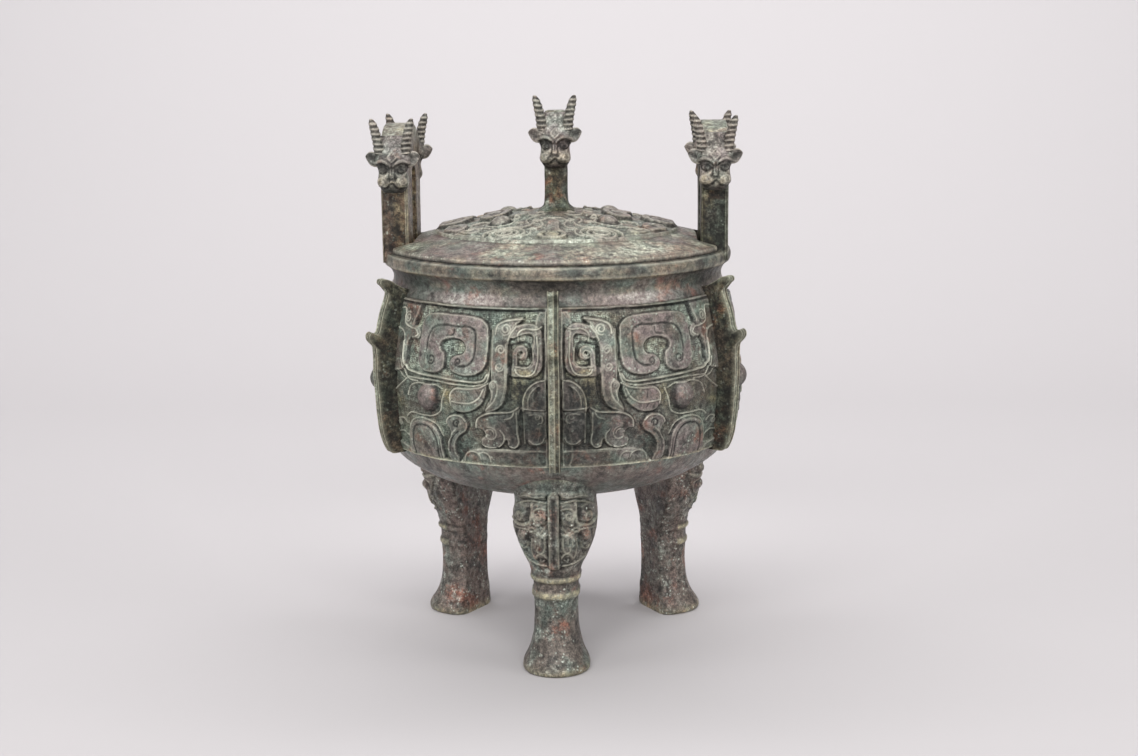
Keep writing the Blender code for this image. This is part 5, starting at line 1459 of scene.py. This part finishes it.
# one quarter of the lid's carving, front right; x across and y towards the front
lidSlabs = [
    # nose and forehead
    ([(0, 61), (4.6, 60.6), (7.4, 58), (6.4, 53), (4, 49.4), (3.2, 42), (2.6, 34), (0, 31),
      (-2.6, 34), (-3.2, 42),
      (-4, 49.4), (-6.4, 53), (-7.4, 58), (-4.6, 60.6)], 1.3, 0.4),
    # broad horn that sweeps outwards
    ([(24, 4), (24.4, -6), (27, -12.6), (33, -15.4), (38.4, -13.6), (38.8, -8), (36.8, -3),
      (36.6, 4)], 1.9, 0.9),
    ([(44, 4), (44.8, -6), (47.6, -10.2), (54, -11.6), (60, -9.8), (61.8, -4), (61.9, 4)], 1.9, 0.9),
    # leaf ear
    ([(44.6, -22), (46.6, -18), (51, -16.8), (55.6, -19.4), (56.6, -24), (54, -29.4), (49, -33.8),
      (45.6, -31.6), (44.2, -27)], 1.3, 0.5),
    # cheek below the scroll
    ([(36.4, -41.6), (40.6, -42.8), (45.6, -40), (48.8, -36), (46.2, -33.6), (41, -35.4),
      (37.4, -38.4)], 1.1, 0.4),
    # brow over the eye
    ([(14.6, -13), (20, -15.4), (24, -17), (22, -20.4), (16.6, -18.8), (13.4, -16)], 1.3, 0.4),
]
lidRidges = [
    ([(0, 26), (4, 27), (6.4, 31), (5.4, 38), (7.6, 43), (12, 45)], 1.0, 0.8),
    ([(10, 33), (12, 38), (15, 40.6), (20, 40)], 1.0, 0.8),
    ([(8.6, 21), (12, 24), (14, 29), (12.6, 34)], 1.0, 0.7),
    ([(4.4, 17), (9, 19.4), (12.4, 17.6), (14.6, 13.8)], 1.0, 0.7),
    ([(31.6, 37), (35, 34), (39, 33), (42, 29)], 1.0, 0.8),
    ([(34, 22), (38, 20), (41.6, 21.6), (42.4, 26)], 1.0, 0.8),
    ([(15.4, 56.6), (11.4, 52), (11, 47)], 1.0, 0.8),
    ([(36, 49), (40, 46.4), (45, 42), (50, 36)], 1.0, 0.7),
    ([(45.4, 31.4), (48, 27), (50.4, 21), (54.6, 19.6)], 0.9, 0.6),
]
lidGrooves = [
    ([(27.4, -4), (28.4, 4), (30.6, 10), (34, 11.4)], 1.0, 0.7),
    ([(48, -4), (49.2, 3.4), (53, 7.4), (57.6, 5.6)], 1.0, 0.7),
    ([(3.2, 58.4), (4, 55.6), (2.6, 53)], 1.1, 0.7),
]


def drawLid():
    # a quarter of the lid's disc; the drawing's y grows towards the front
    sheet = newSheet(-1.0, 66.0, -1.0, 66.0, 0.35)
    for outline, height, tint in lidSlabs:
        raiseSlab(sheet, np.array(outline) * (1.0, np.sign(np.mean(outline, axis=0)[1])), height, 1.0, tint)
    for radius, height in ((9.4, 1.5), (6.6, 1.3), (3.8, 1.5)):
        drawRidge(sheet, oval((24.2, 50.6), 1.12 * radius, 0.86 * radius), 1.25, height, plain=True)
    drawRidge(sheet, oval((27.2, 27.2), 7.2, 6.6), 1.0, 0.6, plain=True)
    bosses = [((24.2, 50.6), (2.0, 1.6), 1.6, 0.6, 0.2), ((27.2, 27.2), (5.6, 5.2), 3.6, 0.6, 0.7)]
    curls = [((41.6, 37.6), 2.4, 0.6, 0, 1.5), ((9, 29.6), 2.4, 0.6, 90, 1.4),
             ((17.6, 30.6), 2.2, 0.6, 180, -1.4), ((19.6, 21.4), 2.2, 0.6, 45, 1.4),
             ((7.4, 12), 2.0, 0.6, 0, 1.3), ((17, 6.6), 2.0, 0.6, 200, -1.3)]
    drawStrokes(sheet, np.asarray, 1.0, (0.9, 0.7), bosses, lidRidges, lidGrooves, curls)
    for centre, radius, start, turns in (((32, 8.6), 2.6, 180, 1.4), ((55, 3.6), 2.4, 180, -1.3),
                                         ((50.2, 24.6), 2.4, 60, 1.3)):
        cutGroove(sheet, curl(centre, radius, 0.7, start, turns), 0.9, 0.6, plain=True)
    return finishSheet(sheet)


lidSheet = drawLid()
print("lid drawn")


def makeLidDisc():
    # a square grid bent to a disc, x = u sqrt(1 - v^2 / 2) and y = v sqrt(1 - u^2 / 2), lifted by the dome,
    # the disc's step and the carving, which is folded in both axes
    n = lid["cells"]
    u, v = np.meshgrid(np.linspace(-1.0, 1.0, n), np.linspace(-1.0, 1.0, n))
    edge = lid["disc"] + 0.5
    x, y = edge * u * np.sqrt(1.0 - v * v / 2.0), edge * v * np.sqrt(1.0 - u * u / 2.0)
    r = np.hypot(x, y)
    foldX = np.abs(x) + 0.35 * latticeNoise(x, y, 0 * x, 10.0, 111)
    foldY = np.abs(y) + 0.35 * latticeNoise(x, y, 0 * x, 10.0, 112)
    rim = smoothStep(edge, edge - 0.9, r)
    field = smoothStep(62.4, 60.6, r)
    names = ("height", "hollow", "crest", "tint", "ground")
    lift, hollow, crest, tint, ground = readSheet(lidSheet, foldX, foldY, *names)
    rough = 0.12 * layeredNoise(x, y, 0 * x, 3.4, 113, 2)
    z = lidHeight(r) - 0.5 * (1 - rim) + (lid["step"] - 0.35 * ground * field + rough) * rim + lift * field
    face = asPoints(x, y, z)

    # a skirt down from the disc's edge and a plain back under the dome
    number = np.arange(n * n).reshape(n, n)
    loop = np.concatenate([number[0, :-1], number[:-1, -1], number[-1, :0:-1], number[:0:-1, 0]])
    skirt = face[loop] * (0.985, 0.985, 1.0) - (0.0, 0.0, 1.0)
    back = np.vstack([face[loop] * (0.5, 0.5, 0.0), [0.0, 0.0, 0.0]])
    back[:, 2] = lidHeight(np.hypot(back[:, 0], back[:, 1])) - 1.4
    k = len(loop)
    first, second = n * n + np.arange(k), n * n + k + np.arange(k)
    sides = [joinRows(loop, first, wrap=True), joinRows(first, second, wrap=True),
             fanFaces(second, n * n + 2 * k)]
    faces = [gridFaces(n, n)] + [group[:, ::-1] for group in sides]

    # pale crust on the ground, ochre near the front edge and in blots, painted shade in the carving's hollows
    patch = layeredNoise(x, y, 0 * x, 15.0, 115)
    pale = (0.42 * ground + 0.12) * smoothStep(-0.5, 0.4, patch)
    dark = 0.9 * smoothStep(0.2, 0.9, hollow) + 0.1 * ground
    ochre = 0.45 * hump(x, 0.0, 9.0) * hump(y, -57.0, 6.0) + 0.25 * smoothStep(0.0, 0.5, -patch)
    patina = patinaOf(tint * 0.9, pale, ochre * field, dark * rim)
    wearAndSheen = 0.8 * crest * field + 0.35 * hump(r, 62.6, 0.6)
    addPiece("lid_carved_disc", np.vstack([face, skirt, back]), faces, patina, wearAndSheen,
             bronze["lid_carved_bronze"], lidPart, flat=face[:, :2], ground=ground * field)


makeLidDisc()

# The knob's post: height, and share of its half width and half depth.
knob = {
    "sections": [(222.0, 1.70), (225.6, 1.58), (226.8, 1.34), (227.8, 1.17), (229.2, 1.06), (231.5, 1.01),
                 (240.0, 0.98), (256.0, 1.0), (270.0, 1.0), (273.6, 0.985), (275.6, 0.93), (276.5, 0.84),
                 (276.8, 0.7)],
    "rows": [(222.0, 234.0, 20), (235.5, 272.0, 26), (272.8, 276.8, 10)],
    "half": (5.9, 6.5),
    "corner": 1.7,
    "eyes": 259.0,
}


def makeKnobPost():
    # a rectangle with round corners, carried up the post and scaled by the share at each height
    z = np.concatenate([np.linspace(*stretch) for stretch in knob["rows"]])
    share, = readProfile(knob["sections"], z)
    (hx, hy), c = knob["half"], knob["corner"]
    bend = np.radians(np.linspace(0.0, 90.0, 6))
    side = np.linspace(-0.8, 0.8, 7)
    right, far = hx - c + c * np.sin(bend), hy - c + c * np.cos(bend)
    halfX = np.concatenate([right, hx + 0 * side, right[::-1], -side * (hx - c)])
    halfY = np.concatenate([-far, side * (hy - c), far[::-1], hy + 0 * side])
    px, py = np.append(halfX, -halfX) * share, np.append(halfY, -halfY) * share
    high = z[:, None] + 0 * px
    rough = 1.0 + 0.028 * layeredNoise(px, py, high, 5.0, 121)
    points = asPoints(px * rough, py * rough, high)
    patch = layeredNoise(*points.T, 5.5, 123)
    top = smoothStep(270.0, 276.0, points[:, 2])
    blot = smoothStep(0.1, -0.4, patch)
    pale = 0.4 * smoothStep(0.0, 0.5, patch) + 0.4 * top
    patina = patinaOf(0.1, pale, 0.25 * blot, (0.5 * blot + 0.15) * (1 - top))
    addPiece("knob_post", points, tubeFaces(*px.shape), patina, 0.1 * top, bronze["dark_bronze"], lidPart,
             sharp=50.0)


makeKnobPost()
makeHead("head_knob", (0.0, -knob["half"][1], knob["eyes"]), 0.0, lidPart)
print("lid and knob made")

# Studio: a pale floor that bends up into the backdrop, and soft light from above the front.
studio = {
    "floorColour": (0.470, 0.454, 0.460),
    "wallY": 1.5,
    "bendRadius": 0.9,
    "front": -1.6,
    "width": 3.2,
    "height": 2.4,
    "air": (0.93, 0.93, 0.95),
    "airStrength": 0.32,
    "lights": {  # place, aim, size, watts, colour
        "key_softbox": ((-0.04, -1.25, 1.15), (0.0, 0.0, 0.12), (1.5, 0.34), 23.5, (1.0, 0.99, 0.98)),
        "top_softbox": ((0.0, -0.05, 1.55), (0.0, 0.0, 0.0), (1.8, 1.0), 5.0, (1.0, 0.99, 0.985)),
        "left_softbox": ((-1.30, -0.55, 0.55), (0.0, 0.0, 0.15), (0.7, 1.0), 4.5, (0.99, 0.99, 1.0)),
        "right_softbox": ((1.30, -0.55, 0.55), (0.0, 0.0, 0.15), (0.7, 1.0), 5.5, (1.0, 0.99, 0.98)),
        "low_front_fill": ((0.0, -1.45, 0.26), (0.0, 0.0, 0.05), (2.2, 0.24), 8.0, (1.0, 0.99, 0.99)),
        "backdrop_light": ((0.0, 0.55, 1.7), (0.0, 1.5, 0.6), (2.4, 0.5), 30.0, (1.0, 0.985, 0.995)),
        "rear_lamp": ((0.0, 0.13, 0.15), (0.0, 0.40, 0.0), (0.15, 0.04), 0.2, (1.0, 0.99, 0.99)),
    },
}


def makeStudio():
    # a profile that runs along the floor, round a quarter circle and up, carried straight across
    bend = np.linspace(0.0, np.pi / 2, 24)
    run = studio["wallY"] - studio["bendRadius"]
    y = np.concatenate([[studio["front"], 0.0], run + studio["bendRadius"] * np.sin(bend), [studio["wallY"]]])
    z = np.concatenate([[0.0, 0.0], studio["bendRadius"] * (1.0 - np.cos(bend)), [studio["height"]]])
    points = [(x, *place) for place in zip(y, z) for x in (-studio["width"], studio["width"])]
    mesh = bpy.data.meshes.new("studio_sweep")
    mesh.from_pydata(points, [], gridFaces(len(y), 2).tolist())
    mesh.polygons.foreach_set("use_smooth", np.ones(len(mesh.polygons), bool))
    floor = bpy.data.objects.new("studio_sweep", mesh)
    scene.collection.objects.link(floor)
    paper = bpy.data.materials.new("pale_backdrop")
    paper.use_nodes = True
    shader = paper.node_tree.nodes["Principled BSDF"]
    shader.inputs["Base Color"].default_value = (*studio["floorColour"], 1.0)
    shader.inputs["Roughness"].default_value = 0.9
    shader.inputs["Specular IOR Level"].default_value = 0.1
    mesh.materials.append(paper)


def standAt(thing, side, up, back, place):
    # the three directions and the place, in metres, are the columns of its matrix
    columns = (side, up, back, place)
    thing.matrix_world = Matrix([[float(c[i]) for c in columns] for i in range(3)] + [[0, 0, 0, 1]])


def softLight(name, place, aim, size, power, colour):
    # a rectangle of light whose back points away from the aim; straight above the aim, its side is +X
    lamp = bpy.data.lights.new(name, "AREA")
    lamp.shape = "RECTANGLE"
    lamp.size, lamp.size_y = size
    lamp.energy = power
    lamp.color = colour
    light = bpy.data.objects.new(name, lamp)
    scene.collection.objects.link(light)
    back = np.array(place) - aim
    back = back / np.linalg.norm(back)
    side = np.cross((0.0, 0.0, 1.0), back)
    long = np.linalg.norm(side)
    side = side / long if long > 1e-6 else np.array([1.0, 0.0, 0.0])
    standAt(light, side, np.cross(back, side), back, place)


makeStudio()
for lightName, lightFacts in studio["lights"].items():
    softLight(lightName, *lightFacts)
world = bpy.data.worlds.new("studio_air")
world.use_nodes = True
air = world.node_tree.nodes["Background"]
air.inputs["Color"].default_value = (*studio["air"], 1.0)
air.inputs["Strength"].default_value = studio["airStrength"]
scene.world = world
scene.view_settings.view_transform = "Standard"
print("studio lit")

# Camera: distance, height and side step in mm; degrees round from the front and tilts, in radians.
camera = {
    "distance": 938.05,
    "height": 313.2,
    "down": 0.1864,
    "round": 0.040,
    "yaw": -0.0036,
    "roll": -0.012,
    "lens": 57.06,
    "sideStep": 2.0,
}


def makeCamera():
    # it looks ahead and down; its right and up directions are then turned by the roll
    a = camera["round"] + camera["yaw"]
    down, roll = camera["down"], camera["roll"]
    ahead = np.array([-math.sin(a), math.cos(a), 0.0])
    right = np.array([math.cos(a), math.sin(a), 0.0])
    high = np.array([0.0, 0.0, 1.0])
    forward = ahead * math.cos(down) - high * math.sin(down)
    upward = ahead * math.sin(down) + high * math.cos(down)
    place = np.array([math.sin(camera["round"]), -math.cos(camera["round"]), 0.0]) * camera["distance"]
    place = (place + high * camera["height"] + right * camera["sideStep"]) * mm
    lens = bpy.data.cameras.new("photo_camera")
    lens.sensor_width = 36.0
    lens.lens = camera["lens"]
    lens.clip_start, lens.clip_end = 0.01, 20.0
    eye = bpy.data.objects.new("photo_camera", lens)
    scene.collection.objects.link(eye)
    standAt(eye, right * math.cos(roll) + upward * math.sin(roll),
            upward * math.cos(roll) - right * math.sin(roll), -forward, place)
    scene.camera = eye


makeCamera()
